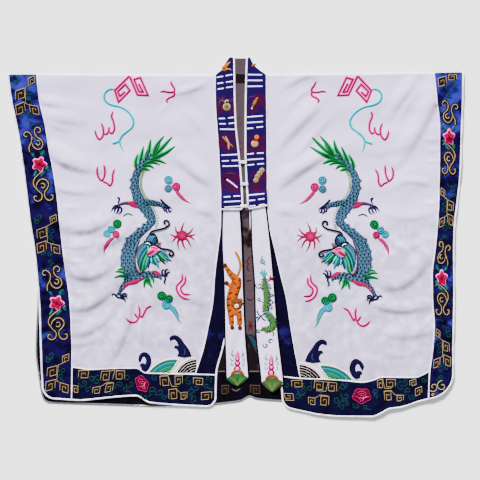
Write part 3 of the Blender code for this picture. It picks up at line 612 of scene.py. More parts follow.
def grid_faces(rows, columns, start=0):
    """Four corners of every cell of a grid of points, numbered row by row."""
    index = np.arange(rows * columns).reshape(rows, columns) + start
    return np.stack([index[:-1, :-1], index[1:, :-1], index[1:, 1:], index[:-1, 1:]], axis=-1).reshape(-1, 4)


def put_mesh(name, points, faces, uv, colour=None, material=None, keep_turn=False):
    """Mesh object from arrays: points in metres, faces of four corners, and a UV place for each point."""
    corners = points[faces]
    spokes = np.cross(corners[:, 2] - corners[:, 0], corners[:, 3] - corners[:, 1])
    inside_out = np.einsum("ij,ij->i", spokes, corners.mean(axis=1) - points.mean(axis=0)).sum() < 0.0
    if inside_out and not keep_turn:
        faces = faces[:, ::-1]
    mesh = bpy.data.meshes.new(name)
    mesh.vertices.add(len(points))
    mesh.vertices.foreach_set("co", np.ascontiguousarray(points, dtype=np.float32).ravel())
    mesh.loops.add(faces.size)
    mesh.polygons.add(len(faces))
    mesh.loops.foreach_set("vertex_index", np.ascontiguousarray(faces, dtype=np.int32).ravel())
    mesh.polygons.foreach_set("loop_start", np.arange(0, faces.size, 4, dtype=np.int32))
    mesh.update(calc_edges=True)
    layer = mesh.uv_layers.new(name="cloth")
    layer.data.foreach_set("uv", np.ascontiguousarray(uv[faces.ravel()], dtype=np.float32).ravel())
    if colour is not None:
        attribute = mesh.color_attributes.new(name="thread", type="FLOAT_COLOR", domain="POINT")
        attribute.data.foreach_set("color", np.ascontiguousarray(colour, dtype=np.float32).ravel())
    mesh.shade_smooth()
    if material is not None:
        mesh.materials.append(material)
    piece = bpy.data.objects.new(name, mesh)
    bpy.context.scene.collection.objects.link(piece)
    return piece


def put_shell(name, skins, material, under=None):
    """Closed wall between a lower and an upper skin on the same grid; under is the lower skin's finish."""
    lower, upper = skins
    rows, columns = lower.shape[:2]
    count = rows * columns
    top = grid_faces(rows, columns, count)
    bottom = grid_faces(rows, columns)[:, ::-1]
    index = np.arange(count).reshape(rows, columns)
    ring = np.concatenate([index[0, :-1], index[:-1, -1], index[-1, :0:-1], index[:0:-1, 0]])
    ahead = np.roll(ring, -1)
    walls = np.stack([ring, ring + count, ahead + count, ahead], axis=-1)
    points = np.concatenate([lower.reshape(-1, 3), upper.reshape(-1, 3)])
    uv = np.tile(cloth_uv(upper).reshape(-1, 2), (2, 1))
    piece = put_mesh(name, points, np.concatenate([top, bottom, walls]), uv, material=material)
    piece.data.set_sharp_from_angle(angle=math.radians(SHARP_ANGLE))
    if under is not None:
        piece.data.materials.append(under)
        finish = np.zeros(len(piece.data.polygons), dtype=np.int32)
        finish[len(top):len(top) + len(bottom)] = 1
        piece.data.polygons.foreach_set("material_index", finish)
    return piece


def cloth_uv(skin):
    """UV place of each point in metres, measured along the cloth's two directions."""
    rows = np.concatenate([np.zeros((1, skin.shape[1])), np.linalg.norm(np.diff(skin, axis=0), axis=-1)])
    columns = np.linalg.norm(np.diff(skin, axis=1), axis=-1)
    columns = np.concatenate([np.zeros((skin.shape[0], 1)), columns], axis=1)
    along = np.cumsum(rows, axis=0)
    middle = columns.shape[0] // 2
    across = np.broadcast_to(np.cumsum(columns[middle]), along.shape)
    return np.stack([across, along], axis=-1)


def flat_size(skin):
    """Width and length of the cloth in metres, and its area, from its upper skin."""
    width = np.linalg.norm(np.diff(skin, axis=1), axis=-1).sum(axis=1).max()
    length = np.linalg.norm(np.diff(skin, axis=0), axis=-1).sum(axis=0).max()
    first = np.cross(skin[1:, :-1] - skin[:-1, :-1], skin[:-1, 1:] - skin[:-1, :-1])
    second = np.cross(skin[:-1, 1:] - skin[1:, 1:], skin[1:, :-1] - skin[1:, 1:])
    area = (np.linalg.norm(first, axis=-1).sum() + np.linalg.norm(second, axis=-1).sum()) / 2.0
    return float(width), float(length), float(area)


def put_trim(name, node, skins, finish, under=None):
    """Piece in place of its CAD node; under is the finish of its lower skin."""
    piece = put_shell(name, skins, satin(finish), satin(under) if under else None)
    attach(piece, "root")
    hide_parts(node)
    return piece


def put_cloth(name, node, skins, finish, under=None):
    """Cloth panel, put like a trim; its flat size is worked out but not used."""
    piece = put_trim(name, node, skins, finish, under)
    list(flat_size(skins[1]))


# Finishes


class RobeSizes(bpy.types.PropertyGroup):
    """Sizes that a user would change."""

    panel_step: bpy.props.FloatProperty(
        name="Panel grid", description="Distance between the points of a wide panel",
        default=0.0075, min=0.004, max=0.05, unit="LENGTH",
    )
    band_step: bpy.props.FloatProperty(
        name="Band grid", description="Distance between the points of a band or strip",
        default=0.0085, min=0.004, max=0.05, unit="LENGTH",
    )
    stitch_height: bpy.props.FloatProperty(
        name="Stitch height", description="How far embroidery stands proud of its cloth",
        default=0.0011, min=0.0003, max=0.003, unit="LENGTH",
    )
    stitch_step: bpy.props.FloatProperty(
        name="Stitch grid", description="Distance between the points along an embroidered line",
        default=0.005, min=0.002, max=0.02, unit="LENGTH",
    )
    weave_pitch: bpy.props.FloatProperty(
        name="Weave pitch", description="Distance between two warp threads of the satin",
        default=0.0009, min=0.0002, max=0.005, unit="LENGTH",
    )
    floor_size: bpy.props.FloatProperty(
        name="Floor size", description="Length of each side of the floor",
        default=16.0, min=4.0, unit="LENGTH",
    )


def colour_property(label, words, value):
    """Colour property with a linear default."""
    return bpy.props.FloatVectorProperty(
        name=label, description=words, subtype="COLOR", size=3, min=0.0, max=1.0, default=value
    )


class RobeColours(bpy.types.PropertyGroup):
    """Colours that a user would change."""

    white_satin: colour_property("White satin", "Fronts and back", (0.61, 0.525, 0.819))
    # Shaded white: the satin's uneven tone at random, and painted shade towards the foot
    white_shade: colour_property(
        "White satin, shaded", "Soft patches in the white satin", (0.44, 0.386, 0.572)
    )
    blue_satin: colour_property("Blue satin", "Figured bands", (0.00414, 0.0007, 0.0325))
    blue_dark: colour_property("Blue satin, dark", "Woven ground of the bands", (0.00157, 0.001, 0.00688))
    blue_light: colour_property("Blue satin, light", "Lit crinkles of the bands", (0.0196, 0.0199, 0.228))
    hem_satin: colour_property("Hem satin", "Hem bands and the back's bands", (0.00279, 0.00174, 0.0185))
    hem_dark: colour_property("Hem satin, dark", "Woven ground of the hem bands", (0.00158, 0.00122, 0.00743))
    hem_light: colour_property("Hem satin, light", "Lit crinkles of the hem bands", (0.00956, 0.0104, 0.0793))
    navy_satin: colour_property("Navy satin", "Plain bands beside the streamers", (0.0023, 0.0011, 0.0116))
    navy_light: colour_property(
        "Navy satin, light", "Lit patches of the plain bands", (0.00875, 0.00429, 0.0699)
    )
    collar_satin: colour_property("Collar satin", "Ground of the collar", (0.00662, 0.00109, 0.0438))
    collar_patch: colour_property(
        "Collar satin, patches", "Reddish patches of the collar", (0.0342, 0.00126, 0.02)
    )
    # The back's inside is the wrong side of its white satin; this grey-mauve is painted shade
    lining: colour_property("Lining", "Inside of the back", (0.0504, 0.0341, 0.0427))
    # Deeper painted shade inside the back: a painted shadow along the neck seam, and darker rows across the
    # middle and above the hem seam
    lining_dark: colour_property("Lining, dark", "Creased parts of the lining", (0.00574, 0.00359, 0.00461))
    binding: colour_property("White binding", "Piping and bias strips", (0.95, 0.95, 0.95))
    back_satin: colour_property(
        "Back bands", "Blue satin of the back, in the fronts' shade", (0.00218, 0.00166, 0.00469)
    )
    back_dark: colour_property(
        "Back bands, dark", "Dark patches of the back's bands", (0.00142, 0.00121, 0.00169)
    )
    back_light: colour_property("Back bands, lit", "Sheen of the back's bands", (0.00368, 0.00283, 0.0166))
    back_piping: colour_property(
        "Back piping", "Piping of the back, in the fronts' shade", (0.0714, 0.0669, 0.0793)
    )
    # The back's white bias strip, painted in shade
    grey_binding: colour_property("Back binding", "Bias strip of the back", (0.1, 0.098, 0.117))
    streamer: colour_property("Streamer satin", "Ground of the streamers", (0.686, 0.598, 0.86))
    black: colour_property("Black binding", "Edges of the streamers", (0.00168, 0.00164, 0.00196))
    floor: colour_property("Floor", "Plain floor", (0.95, 0.95, 0.95))


def colours():
    """The scene's colours."""
    return bpy.context.scene.robe_colours


def sizes():
    """The scene's sizes."""
    return bpy.context.scene.robe_sizes


def add_math(tree, operation, first, second=None):
    """Math node; an input is a socket or a number."""
    node = tree.nodes.new("ShaderNodeMath")
    node.operation = operation
    for index, value in enumerate((first, second)):
        if isinstance(value, bpy.types.NodeSocket):
            tree.links.new(value, node.inputs[index])
        elif value is not None:
            node.inputs[index].default_value = value
    return node.outputs[0]


def add_mix(tree, factor, first, second, blend="MIX"):
    """Mix of two colour sockets; the factor is a socket or a number."""
    node = tree.nodes.new("ShaderNodeMix")
    node.data_type = "RGBA"
    node.blend_type = blend
    for index, value in ((0, factor), (6, first), (7, second)):
        if isinstance(value, bpy.types.NodeSocket):
            tree.links.new(value, node.inputs[index])
        else:
            node.inputs[index].default_value = value
    return node.outputs[2]


def add_scaled(tree, value, factor, offset):
    """A socket times a factor, plus an offset."""
    return add_math(tree, "ADD", add_math(tree, "MULTIPLY", value, factor), offset)


def add_ramp(tree, value, start, end, low=0.0, high=1.0):
    """Low where a socket is below start, high above end, and eased between."""
    node = tree.nodes.new("ShaderNodeMapRange")
    node.interpolation_type = "SMOOTHSTEP"
    for label, number in (("From Min", start), ("From Max", end), ("To Min", low), ("To Max", high)):
        node.inputs[label].default_value = number
    tree.links.new(value, node.inputs["Value"])
    return node.outputs["Result"]


def add_split(tree, place):
    """Node that parts a place into its X, Y and Z."""
    node = tree.nodes.new("ShaderNodeSeparateXYZ")
    tree.links.new(place, node.inputs[0])
    return node


def new_group(name, inputs, outputs):
    """Shader group with named sockets: (tree, input node, output node)."""
    tree = bpy.data.node_groups.new(name, "ShaderNodeTree")
    for label, kind in inputs:
        tree.interface.new_socket(name=label, in_out="INPUT", socket_type=kind)
    for label, kind in outputs:
        tree.interface.new_socket(name=label, in_out="OUTPUT", socket_type=kind)
    return tree, tree.nodes.new("NodeGroupInput"), tree.nodes.new("NodeGroupOutput")


def add_noise(tree, place, scale, detail, roughness=0.5):
    """Noise in three dimensions at a place socket."""
    node = tree.nodes.new("ShaderNodeTexNoise")
    node.inputs["Scale"].default_value = scale
    node.inputs["Detail"].default_value = detail
    node.inputs["Roughness"].default_value = roughness
    tree.links.new(place, node.inputs["Vector"])
    return node.outputs["Fac"]


def satin_group():
    """Satin cloth: soft patches between two colours, painted sheen in patches and rows of the Lit colour,
    warp threads, and fine crinkles in the height.
    """
    found = bpy.data.node_groups.get("satin cloth")
    if found:
        return found
    tree, start, end = new_group(
        "satin cloth",
        (
            ("Place", "NodeSocketVector"), ("Cloth", "NodeSocketVector"), ("Ground", "NodeSocketColor"),
            ("Patch", "NodeSocketColor"), ("Lit", "NodeSocketColor"), ("Threads", "NodeSocketFloat"),
            ("Patches", "NodeSocketFloat"), ("Shine", "NodeSocketFloat"),
        ),
        (("Colour", "NodeSocketColor"), ("Roughness", "NodeSocketFloat"), ("Height", "NodeSocketFloat")),
    )
    given = start.outputs
    noise = add_noise(tree, given["Place"], scale=26.0, detail=3.0, roughness=0.55)
    patches = add_ramp(tree, add_math(tree, "ADD", noise, given["Patches"]), 0.40, 0.66)
    noise = add_noise(tree, given["Place"], scale=17.0, detail=4.0, roughness=0.6)
    lit = add_ramp(tree, add_math(tree, "ADD", noise, given["Shine"]), 0.54, 0.76)
    colour = add_mix(tree, patches, given["Ground"], given["Patch"])
    colour = add_mix(tree, lit, colour, given["Lit"])
    split = add_split(tree, given["Cloth"])
    warp = add_math(tree, "SINE", add_math(tree, "MULTIPLY", split.outputs["X"], given["Threads"]))
    slow = add_math(tree, "MULTIPLY", given["Threads"], 0.31)
    weft = add_math(tree, "SINE", add_math(tree, "MULTIPLY", split.outputs["Y"], slow))
    floats = add_math(tree, "MULTIPLY", warp, add_scaled(tree, weft, 0.35, 0.65))
    crinkle = add_noise(tree, given["Place"], scale=70.0, detail=4.0, roughness=0.6)
    tree.links.new(colour, end.inputs["Colour"])
    tree.links.new(add_scaled(tree, crinkle, 0.22, 0.52), end.inputs["Roughness"])
    tree.links.new(add_scaled(tree, floats, 0.10, crinkle), end.inputs["Height"])
    return tree


def thread_group():
    """Satin stitch: fine threads across the stitched line, light and dark ones mixed."""
    found = bpy.data.node_groups.get("satin stitch")
    if found:
        return found
    tree, start, end = new_group(
        "satin stitch",
        (("Cloth", "NodeSocketVector"), ("Thread", "NodeSocketColor"), ("Pitch", "NodeSocketFloat")),
        (("Colour", "NodeSocketColor"), ("Roughness", "NodeSocketFloat"), ("Height", "NodeSocketFloat")),
    )
    split = add_split(tree, start.outputs["Cloth"])
    rows = add_math(tree, "SINE", add_math(tree, "MULTIPLY", split.outputs["X"], start.outputs["Pitch"]))
    stretched = tree.nodes.new("ShaderNodeMapping")
    stretched.inputs["Scale"].default_value = (1.0, 0.12, 1.0)
    tree.links.new(start.outputs["Cloth"], stretched.inputs["Vector"])
    uneven = add_noise(tree, stretched.outputs["Vector"], scale=420.0, detail=2.0)
    shade = tree.nodes.new("ShaderNodeCombineColor")
    amount = add_scaled(tree, uneven, 0.7, 0.65)
    for index in range(3):
        tree.links.new(amount, shade.inputs[index])
    colour = add_mix(tree, 1.0, start.outputs["Thread"], shade.outputs[0], "MULTIPLY")
    tree.links.new(colour, end.inputs["Colour"])
    tree.links.new(add_scaled(tree, uneven, 0.3, 0.45), end.inputs["Roughness"])
    tree.links.new(add_scaled(tree, rows, 0.5, uneven), end.inputs["Height"])
    return tree


def add_cloth_place(tree):
    """The piece's own places along the cloth, in metres."""
    node = tree.nodes.new("ShaderNodeUVMap")
    node.uv_map = "cloth"
    return node.outputs["UV"]


def finish_with(material, group, links, bump, strength, sheen, specular):
    """Join a cloth group to the material's shader: colour, roughness and height."""
    tree = material.node_tree
    shader = tree.nodes["Principled BSDF"]
    node = tree.nodes.new("ShaderNodeGroup")
    node.node_tree = group
    for label, socket in links:
        tree.links.new(socket, node.inputs[label])
    tree.links.new(node.outputs["Colour"], shader.inputs["Base Color"])
    tree.links.new(node.outputs["Roughness"], shader.inputs["Roughness"])
    relief = tree.nodes.new("ShaderNodeBump")
    relief.inputs["Distance"].default_value = bump
    relief.inputs["Strength"].default_value = strength
    tree.links.new(node.outputs["Height"], relief.inputs["Height"])
    tree.links.new(relief.outputs["Normal"], shader.inputs["Normal"])
    shader.inputs["Sheen Weight"].default_value = sheen
    shader.inputs["Specular IOR Level"].default_value = specular
    return node


def add_row(tree, place, middle, reach, amount):
    """Amount at one height up the robe, and less and less to nothing at reach above and below it."""
    height = add_split(tree, place).outputs["Y"]
    away = add_math(tree, "ABSOLUTE", add_math(tree, "SUBTRACT", height, middle))
    return add_ramp(tree, away, reach * 0.5, reach, amount, 0.0)


# Satins: the names of their colours, how far and strongly the weave stands out, sheen and gloss, and the rows
# up the robe where patches or painted sheen lie, as middle, reach and amount. Each Lit colour is painted
# sheen
Finish = namedtuple(
    "Finish", "ground patch lit bump strength sheen specular patch_rows shine_rows",
    defaults=(0.0009, 0.5, 0.0, 0.02, (), ()),
)
FINISHES = {
    "white satin": Finish(
        "white_satin", "white_shade", "white_satin", strength=0.7, sheen=0.15,
        # The shaded colour lies in soft patches at random, the satin's uneven tone, and in a row towards the
        # foot: painted shade, darker towards the bottom
        patch_rows=((-0.62, 0.95, 0.50),),
    ),
    "blue figured satin": Finish(
        "blue_satin", "blue_dark", "blue_light", 0.0016, 0.8, specular=0.01,
        # Painted sheen, brightest at the top of the side bands
        shine_rows=((0.62, 0.34, 0.18), (0.23, 0.09, 0.09), (-0.15, 0.10, 0.08), (-0.36, 0.08, 0.10)),
    ),
    "hem figured satin": Finish("hem_satin", "hem_dark", "hem_light", 0.0016, 0.8, specular=0.01),
    "back figured satin": Finish("back_satin", "back_dark", "back_light", 0.0016, 0.8, specular=0.01),
    "back piping": Finish("back_piping", "back_piping", "back_piping", sheen=0.15),
    "navy satin": Finish(
        "navy_satin", "blue_dark", "navy_light", 0.0014, 0.7, specular=0.01,
        # Painted sheen low on the plain bands
        shine_rows=((-0.42, 0.07, 0.12),),
    ),
    "collar satin": Finish(
        "collar_satin", "collar_patch", "collar_satin", 0.0012, 0.7, specular=0.01,
        patch_rows=((0.531, 0.062, 0.44), (0.377, 0.062, 0.44), (0.221, 0.066, 0.44)),
    ),
    # Inside of the back and of the collar: painted shade, darker still in rows across the middle, along the
    # neck seam and above the hem seam
    "lining satin": Finish(
        "lining", "lining_dark", "lining", 0.002, 0.8,
        patch_rows=((0.027, 0.10, 0.46), (0.634, 0.024, 0.9), (-0.54, 0.20, 0.9)),
    ),
    "white binding": Finish("binding", "white_satin", "binding", sheen=0.15),
    # The back's white binding in painted shade, with patches of its white
    "grey binding": Finish("grey_binding", "grey_binding", "binding", sheen=0.15),
    "streamer satin": Finish("streamer", "white_satin", "streamer", strength=0.4, sheen=0.15),
    "black binding": Finish("black", "black", "black", specular=0.01),
}
PATCHES_BETWEEN_ROWS = -0.4
SHINE_BETWEEN_ROWS = -0.04
THREAD_PITCH = 0.0016


def satin(name):
    """Satin material of one finish, made the first time it is asked for."""
    found = bpy.data.materials.get(name)
    if found:
        return found
    finish = FINISHES[name]
    material = bpy.data.materials.new(name)
    material.use_nodes = True
    tree = material.node_tree
    place = tree.nodes.new("ShaderNodeTexCoord").outputs["Object"]
    links = (("Place", place), ("Cloth", add_cloth_place(tree)))
    node = finish_with(
        material, satin_group(), links, finish.bump, finish.strength, finish.sheen, finish.specular
    )
    for label, colour in (("Ground", finish.ground), ("Patch", finish.patch), ("Lit", finish.lit)):
        node.inputs[label].default_value = (*getattr(colours(), colour), 1.0)
    node.inputs["Threads"].default_value = 2.0 * math.pi / sizes().weave_pitch
    between = PATCHES_BETWEEN_ROWS if finish.patch_rows else 0.0
    for label, total, rows in (
        ("Patches", between, finish.patch_rows), ("Shine", SHINE_BETWEEN_ROWS, finish.shine_rows),
    ):
        node.inputs[label].default_value = total
        for row in rows:
            total = add_math(tree, "ADD", add_row(tree, place, *row), total)
        if rows:
            tree.links.new(total, node.inputs[label])
    material.diffuse_color = (*getattr(colours(), finish.ground), 1.0)
    return material


def thread_material():
    """Embroidery thread, coloured by each point's own thread colour."""
    found = bpy.data.materials.get("embroidery thread")
    if found:
        return found
    material = bpy.data.materials.new("embroidery thread")
    material.use_nodes = True
    tree = material.node_tree
    colour = tree.nodes.new("ShaderNodeVertexColor")
    colour.layer_name = "thread"
    links = (("Thread", colour.outputs["Color"]), ("Cloth", add_cloth_place(tree)))
    node = finish_with(
        material, thread_group(), links, bump=0.0004, strength=0.6, sheen=0.0, specular=0.02
    )
    node.inputs["Pitch"].default_value = 2.0 * math.pi / THREAD_PITCH
    return material


# Cloth pieces


def steps(length, step=None):
    """How many grid steps a length in millimetres takes."""
    step = step or sizes().band_step * 1000.0
    return max(1, round(length / step))


def crowned(grid, wall, edge):
    """Wall height across a strip, whose columns run from side to side: the share edge of it at the sides,
    and all of it in the middle, along the root of one less the fourth power of the distance."""
    across = np.linspace(-1.0, 1.0, grid.shape[1])
    return np.broadcast_to(wall * (edge + (1.0 - edge) * np.sqrt(1.0 - across**4 * 0.98)), grid.shape)


def shoulder_row(line):
    """First level row of a piece that folds over at the given line."""
    return moved(line, ROLL_INSIDE + FRONT_WALL)


def front_rows(side, inset):
    """Level lines of a front from the shoulder to the foot set in by inset, and the steps between them."""
    lines = LINES[side]
    corner = OUTER_CORNER[side]
    rows = [
        shoulder_row(lines["shoulder"]), level(UNDER_COLLAR), lines["hem_seam"],
        moved(lines["foot"], -corner), moved(lines["foot"], -inset),
    ]
    return rows, [steps(UNDER_COLLAR), steps(SIDE_SKIRT_LENGTH), steps(SIDE_HEM_DEPTH), steps(corner)]


def front_skins(side, net, wall, rolled=False):
    """Skins of a piece of a front, lifted with its folds; a rolled one turns over at the shoulder."""
    out, drop = net
    make_skins = rolled_skins if rolled else flat_skins
    return make_skins(SIGN[side], out, drop, front_low(side, out, drop), wall)


def side_band_net(side, inset):
    """Net of a side band, its outer edge and foot set in by inset."""
    lines = LINES[side]
    radius = OUTER_CORNER[side]
    columns = [
        moved(lines["outer_edge"], -inset), lines["outer_corner"], beside(lines["side_seam"], PIPING_CLEAR)
    ]
    counts = [steps(radius), max(1, round((SIDE_BAND_WIDTH - radius) / SIDE_BAND_STEP))]
    return plan(columns, counts, *front_rows(side, inset), corners=("first",))


def hem_band_columns(side, inset):
    """Upright lines of a hem band, from the side seam to the front edge set in by inset, and their steps."""
    lines = LINES[side]
    columns = [
        beside(lines["side_seam"], -PIPING_CLEAR), beside(lines["front_seam"], PIPING_CLEAR),
        moved(lines["front_edge"], FRONT_CORNER[side]), moved(lines["front_edge"], inset),
    ]
    return columns, [steps(HEM_BAND_LENGTH), steps(HEM_BAND_END), steps(FRONT_CORNER[side])]


def hem_band_net(side, inset, tops, counts):
    """Net of a hem band under the level lines tops, its foot and front edge set in by inset."""
    corner = FRONT_CORNER[side]
    foot = LINES[side]["foot"]
    counts = [*counts, steps(HEM_BAND_DEPTH), steps(corner)]
    rows = [*tops, moved(foot, -corner), moved(foot, -inset)]
    return plan(*hem_band_columns(side, inset), rows, counts, corners=("last",))


def make_fields():
    """The two wide white fronts."""
    step = sizes().panel_step * 1000.0
    for side in SIDES:
        lines = LINES[side]
        net = plan(
            [beside(lines["side_seam"], -PIPING_CLEAR), beside(lines["front_seam"], PIPING_CLEAR)],
            [steps(FIELD_WIDTH, step)],
            [shoulder_row(lines["shoulder"]), level(UNDER_COLLAR), beside(lines["hem_seam"], -PIPING_CLEAR)],
            [steps(UNDER_COLLAR, step), steps(SKIRT_LENGTH, step)],
        )
        skins = front_skins(side, net, FRONT_WALL, rolled=True)
        put_cloth(f"front_cloth_{side}", f"front_{side}", skins, "white satin")


def make_bands():
    """The figured bands down the sides and along the foot of each front, and the plain front-edge bands."""
    for side in SIDES:
        lines = LINES[side]
        skins = front_skins(side, side_band_net(side, BINDING_INSET), FRONT_WALL, rolled=True)
        put_cloth(f"side_band_cloth_{side}", f"side_band_{side}", skins, "blue figured satin")
        net = hem_band_net(side, BINDING_INSET, [beside(lines["hem_seam"], PIPING_CLEAR)], [])
        skins = front_skins(side, net, FRONT_WALL)
        put_cloth(f"hem_band_cloth_{side}", f"hem_band_{side}", skins, "hem figured satin")
        net = plan(
            [beside(lines["front_seam"], -PIPING_CLEAR), moved(lines["front_edge"], BINDING_INSET)],
            [steps(EDGE_BAND_WIDTH)],
            [level(UNDER_COLLAR), beside(lines["hem_seam"], -PIPING_CLEAR)],
            [steps(SKIRT_LENGTH)],
        )
        skins = front_skins(side, net, FRONT_WALL)
        put_cloth(f"edge_band_cloth_{side}", f"edge_band_{side}", skins, "navy satin")


def strip_net(outside, inside, columns=6):
    """Net of a strip between two rims with the same number of points."""
    part = np.linspace(0.0, 1.0, columns)[None, :]
    return [outer[:, None] * (1.0 - part) + inner[:, None] * part for outer, inner in zip(outside, inside)]


def both_sides(line, reach):
    """The lines beside a seam, reach to each side of it, larger values first."""
    return [beside(line, reach), beside(line, -reach)]


def make_front_trims():
    """Piping in the seams of the fronts, and the bias strips round their open edges."""
    for side in SIDES:
        lines = LINES[side]
        columns = both_sides(lines["side_seam"], PIPING_HALF)
        net = plan(columns, [PIPING_STEPS], *front_rows(side, BINDING_INSET))
        wall = crowned(net[0], PIPING_WALL, PIPING_EDGE)
        pieces = [("side_piping", net, wall, True)]
        rows = both_sides(lines["hem_seam"], PIPING_HALF)[::-1]
        net = plan(*hem_band_columns(side, BINDING_INSET), rows, [PIPING_STEPS])
        pieces.append(("hem_piping", net, crowned(net[0].T, PIPING_WALL, PIPING_EDGE).T, False))
        net = plan(
            both_sides(lines["front_seam"], PIPING_HALF),
            [PIPING_STEPS],
            [
                shoulder_row(level(COLLAR_TOP)), level(0.0), level(UNDER_COLLAR),
                beside(lines["hem_seam"], -PIPING_CLEAR),
            ],
            [steps(-COLLAR_TOP), steps(UNDER_COLLAR), steps(SKIRT_LENGTH)],
        )
        pieces.append(("front_piping", net, crowned(net[0], PIPING_WALL, PIPING_EDGE), True))
        net = strip_net(front_rim(side, 0.0), front_rim(side, BINDING_WIDTH))
        pieces.append(("front_binding", net, crowned(net[0], BINDING_WALL, BINDING_EDGE), True))
        for name, net, wall, rolled in pieces:
            skins = front_skins(side, net, wall, rolled)
            put_trim(f"{name}_cloth_{side}", f"{name}_{side}", skins, "white binding")


def front_rim(side, inset):
    """Points round a front's open edge: outer edge, foot, front edge up to the collar."""
    net = side_band_net(side, inset)
    outer = [np.concatenate([grid[:-1, 0], grid[-1]]) for grid in net]
    tops = [level(UNDER_COLLAR), LINES[side]["hem_seam"]]
    net = hem_band_net(side, inset, tops, [steps(SKIRT_LENGTH)])
    inner = [np.concatenate([grid[-1], grid[:-1, -1][::-1]]) for grid in net]
    return [np.concatenate(pair) for pair in zip(outer, inner)]


def collar_net(side, inset):
    """Net of a collar length, its open edges set in by inset."""
    lines = LINES[side]
    slant = COLLAR_FOOT_SLANT[side]

    def end(out):
        return COLLAR_FOOT + slant * (out - lines["collar_inner"](COLLAR_FOOT))

    columns = [
        beside(lines["front_seam"], -PIPING_CLEAR), moved(lines["collar_inner"], COLLAR_CORNER),
        moved(lines["collar_inner"], inset),
    ]
    rows = [
        shoulder_row(level(COLLAR_TOP)), level(0.0), level(COLLAR_CLIMB), level(COLLAR_CLIMBED),
        moved(end, -COLLAR_CORNER), moved(end, -inset),
    ]
    climb = COLLAR_CLIMBED - COLLAR_CLIMB
    counts = [
        steps(-COLLAR_TOP), steps(COLLAR_CLIMB), steps(climb), steps(COLLAR_END_LENGTH), COLLAR_END_STEPS
    ]
    return plan(columns, COLLAR_STEPS, rows, counts, corners=("last",))


def rim(net, first_side=True):
    """Points round a net's open edge: down its first side, along its foot, up its last side."""
    first_rows = slice(0, -1 if first_side else 0)
    return [np.concatenate([grid[first_rows, 0], grid[-1], grid[:-1, -1][::-1]]) for grid in net]


def make_collar():
    """The two front lengths of the collar with their bindings, and the length behind the neck."""
    for side in SIDES:
        out, drop = collar_net(side, COLLAR_BINDING_WIDTH + BINDING_GAP)
        skins = rolled_skins(SIGN[side], out, drop, collar_low(drop), COLLAR_WALL)
        put_cloth(f"collar_cloth_{side}", f"collar_{side}", skins, "collar satin")
        outside = rim(collar_net(side, 0.0), first_side=False)
        inside = rim(collar_net(side, COLLAR_BINDING_WIDTH), first_side=False)
        out, drop = [grid[::-1] for grid in strip_net(outside, inside)]
        wall = crowned(out, COLLAR_BINDING_WALL, BINDING_EDGE)
        skins = rolled_skins(SIGN[side], out, drop, collar_low(drop), wall)
        name = f"collar_binding_cloth_{side}"
        put_trim(name, f"collar_binding_{side}", skins, "white binding")

    def left_end(drop):
        return -LINES["left"]["front_seam"](drop) - PIPING_HALF

    def right_end(drop):
        return LINES["right"]["front_seam"](drop) + PIPING_HALF

    top = level(COLLAR_TOP + COLLAR_BINDING_WALL + SEAM_GAP)
    foot = moved(back_lines()["shoulder"], -SEAM_GAP)
    out, drop = plan([left_end, right_end], [NECK_STEPS[0]], [top, foot], [NECK_STEPS[1]])
    skins = flat_skins(1.0, out, drop, np.zeros_like(out), BACK_WALL)
    # Its upper skin shows the collar's inside, painted in shade
    put_cloth(
        "collar_back_cloth", "collar_back", skins, "lining satin", "collar satin"
    )


def back_lines():
    """Lines of the back, across the whole width."""
    left_edge = section_line(BACK_SECTIONS, "left_edge")
    right_edge = section_line(BACK_SECTIONS, "right_edge")
    shoulder = []
    for side in SIDES:
        top = FRONT_SECTIONS[side][0]
        places = (top.outer_edge, top.side_seam, top.front_seam)
        shoulder += [(SIGN[side] * out, drop) for out, drop in zip(places, SHOULDER[side])]
    return {
        "left_edge": lambda drop: -left_edge(drop),
        "left_seam": lambda drop: -left_edge(drop) + BACK_BAND_WIDTH,
        "left_neck": lambda drop: -LINES["left"]["front_seam"](np.zeros_like(drop)),
        "right_neck": lambda drop: LINES["right"]["front_seam"](np.zeros_like(drop)),
        "right_seam": lambda drop: right_edge(drop) - BACK_BAND_WIDTH,
        "right_edge": right_edge,
        "shoulder": moved(straight_line(shoulder), ROLL_INSIDE + FRONT_WALL + SEAM_GAP),
        "foot": smooth_line(BACK_FOOT),
    }


def back_middle_columns(lines):
    """Upright lines of the back between its side seams."""
    return [
        moved(lines["left_seam"], PIPING_CLEAR), lines["left_neck"], lines["right_neck"],
        moved(lines["right_seam"], -PIPING_CLEAR),
    ]


def back_side_rows(lines, side, inset):
    """Level lines at the back's sides, from the shoulder to the foot set in by inset, and their steps."""
    rows = [
        lines["shoulder"], level(BACK_HEM_SEAM - PIPING_CLEAR), moved(lines["foot"], -BACK_CORNER[side]),
        moved(lines["foot"], -inset),
    ]
    return rows, BACK_SIDE_STEPS


def back_side_net(lines, side, inset):
    """Net of a back side band, its open edges set in by inset."""
    edge = lines[f"{side}_edge"]
    inward = -SIGN[side]
    columns = [
        moved(edge, inward * inset), moved(edge, inward * BACK_CORNER[side]),
        moved(lines[f"{side}_seam"], -inward * PIPING_CLEAR),
    ]
    return plan(columns, BACK_BAND_STEPS, *back_side_rows(lines, side, inset), corners=("first",))


def back_foot_net(lines, inset):
    """Net of the back's hem band, its foot set in by inset."""
    rows = [level(BACK_HEM_SEAM + PIPING_CLEAR), moved(lines["foot"], -inset)]
    return plan(back_middle_columns(lines), BACK_STEPS, rows, [BACK_HEM_STEPS])


def back_rim(lines, inset):
    """Points round the back's open edge, set in by inset: left side, foot, right side."""
    left, right = (
        [np.concatenate([grid[:-1, 0], grid[-1]]) for grid in back_side_net(lines, side, inset)]
        for side in SIDES
    )
    foot = [grid[-1] for grid in back_foot_net(lines, inset)]
    return [np.concatenate([left[index], foot[index], right[index][::-1]]) for index in range(2)]


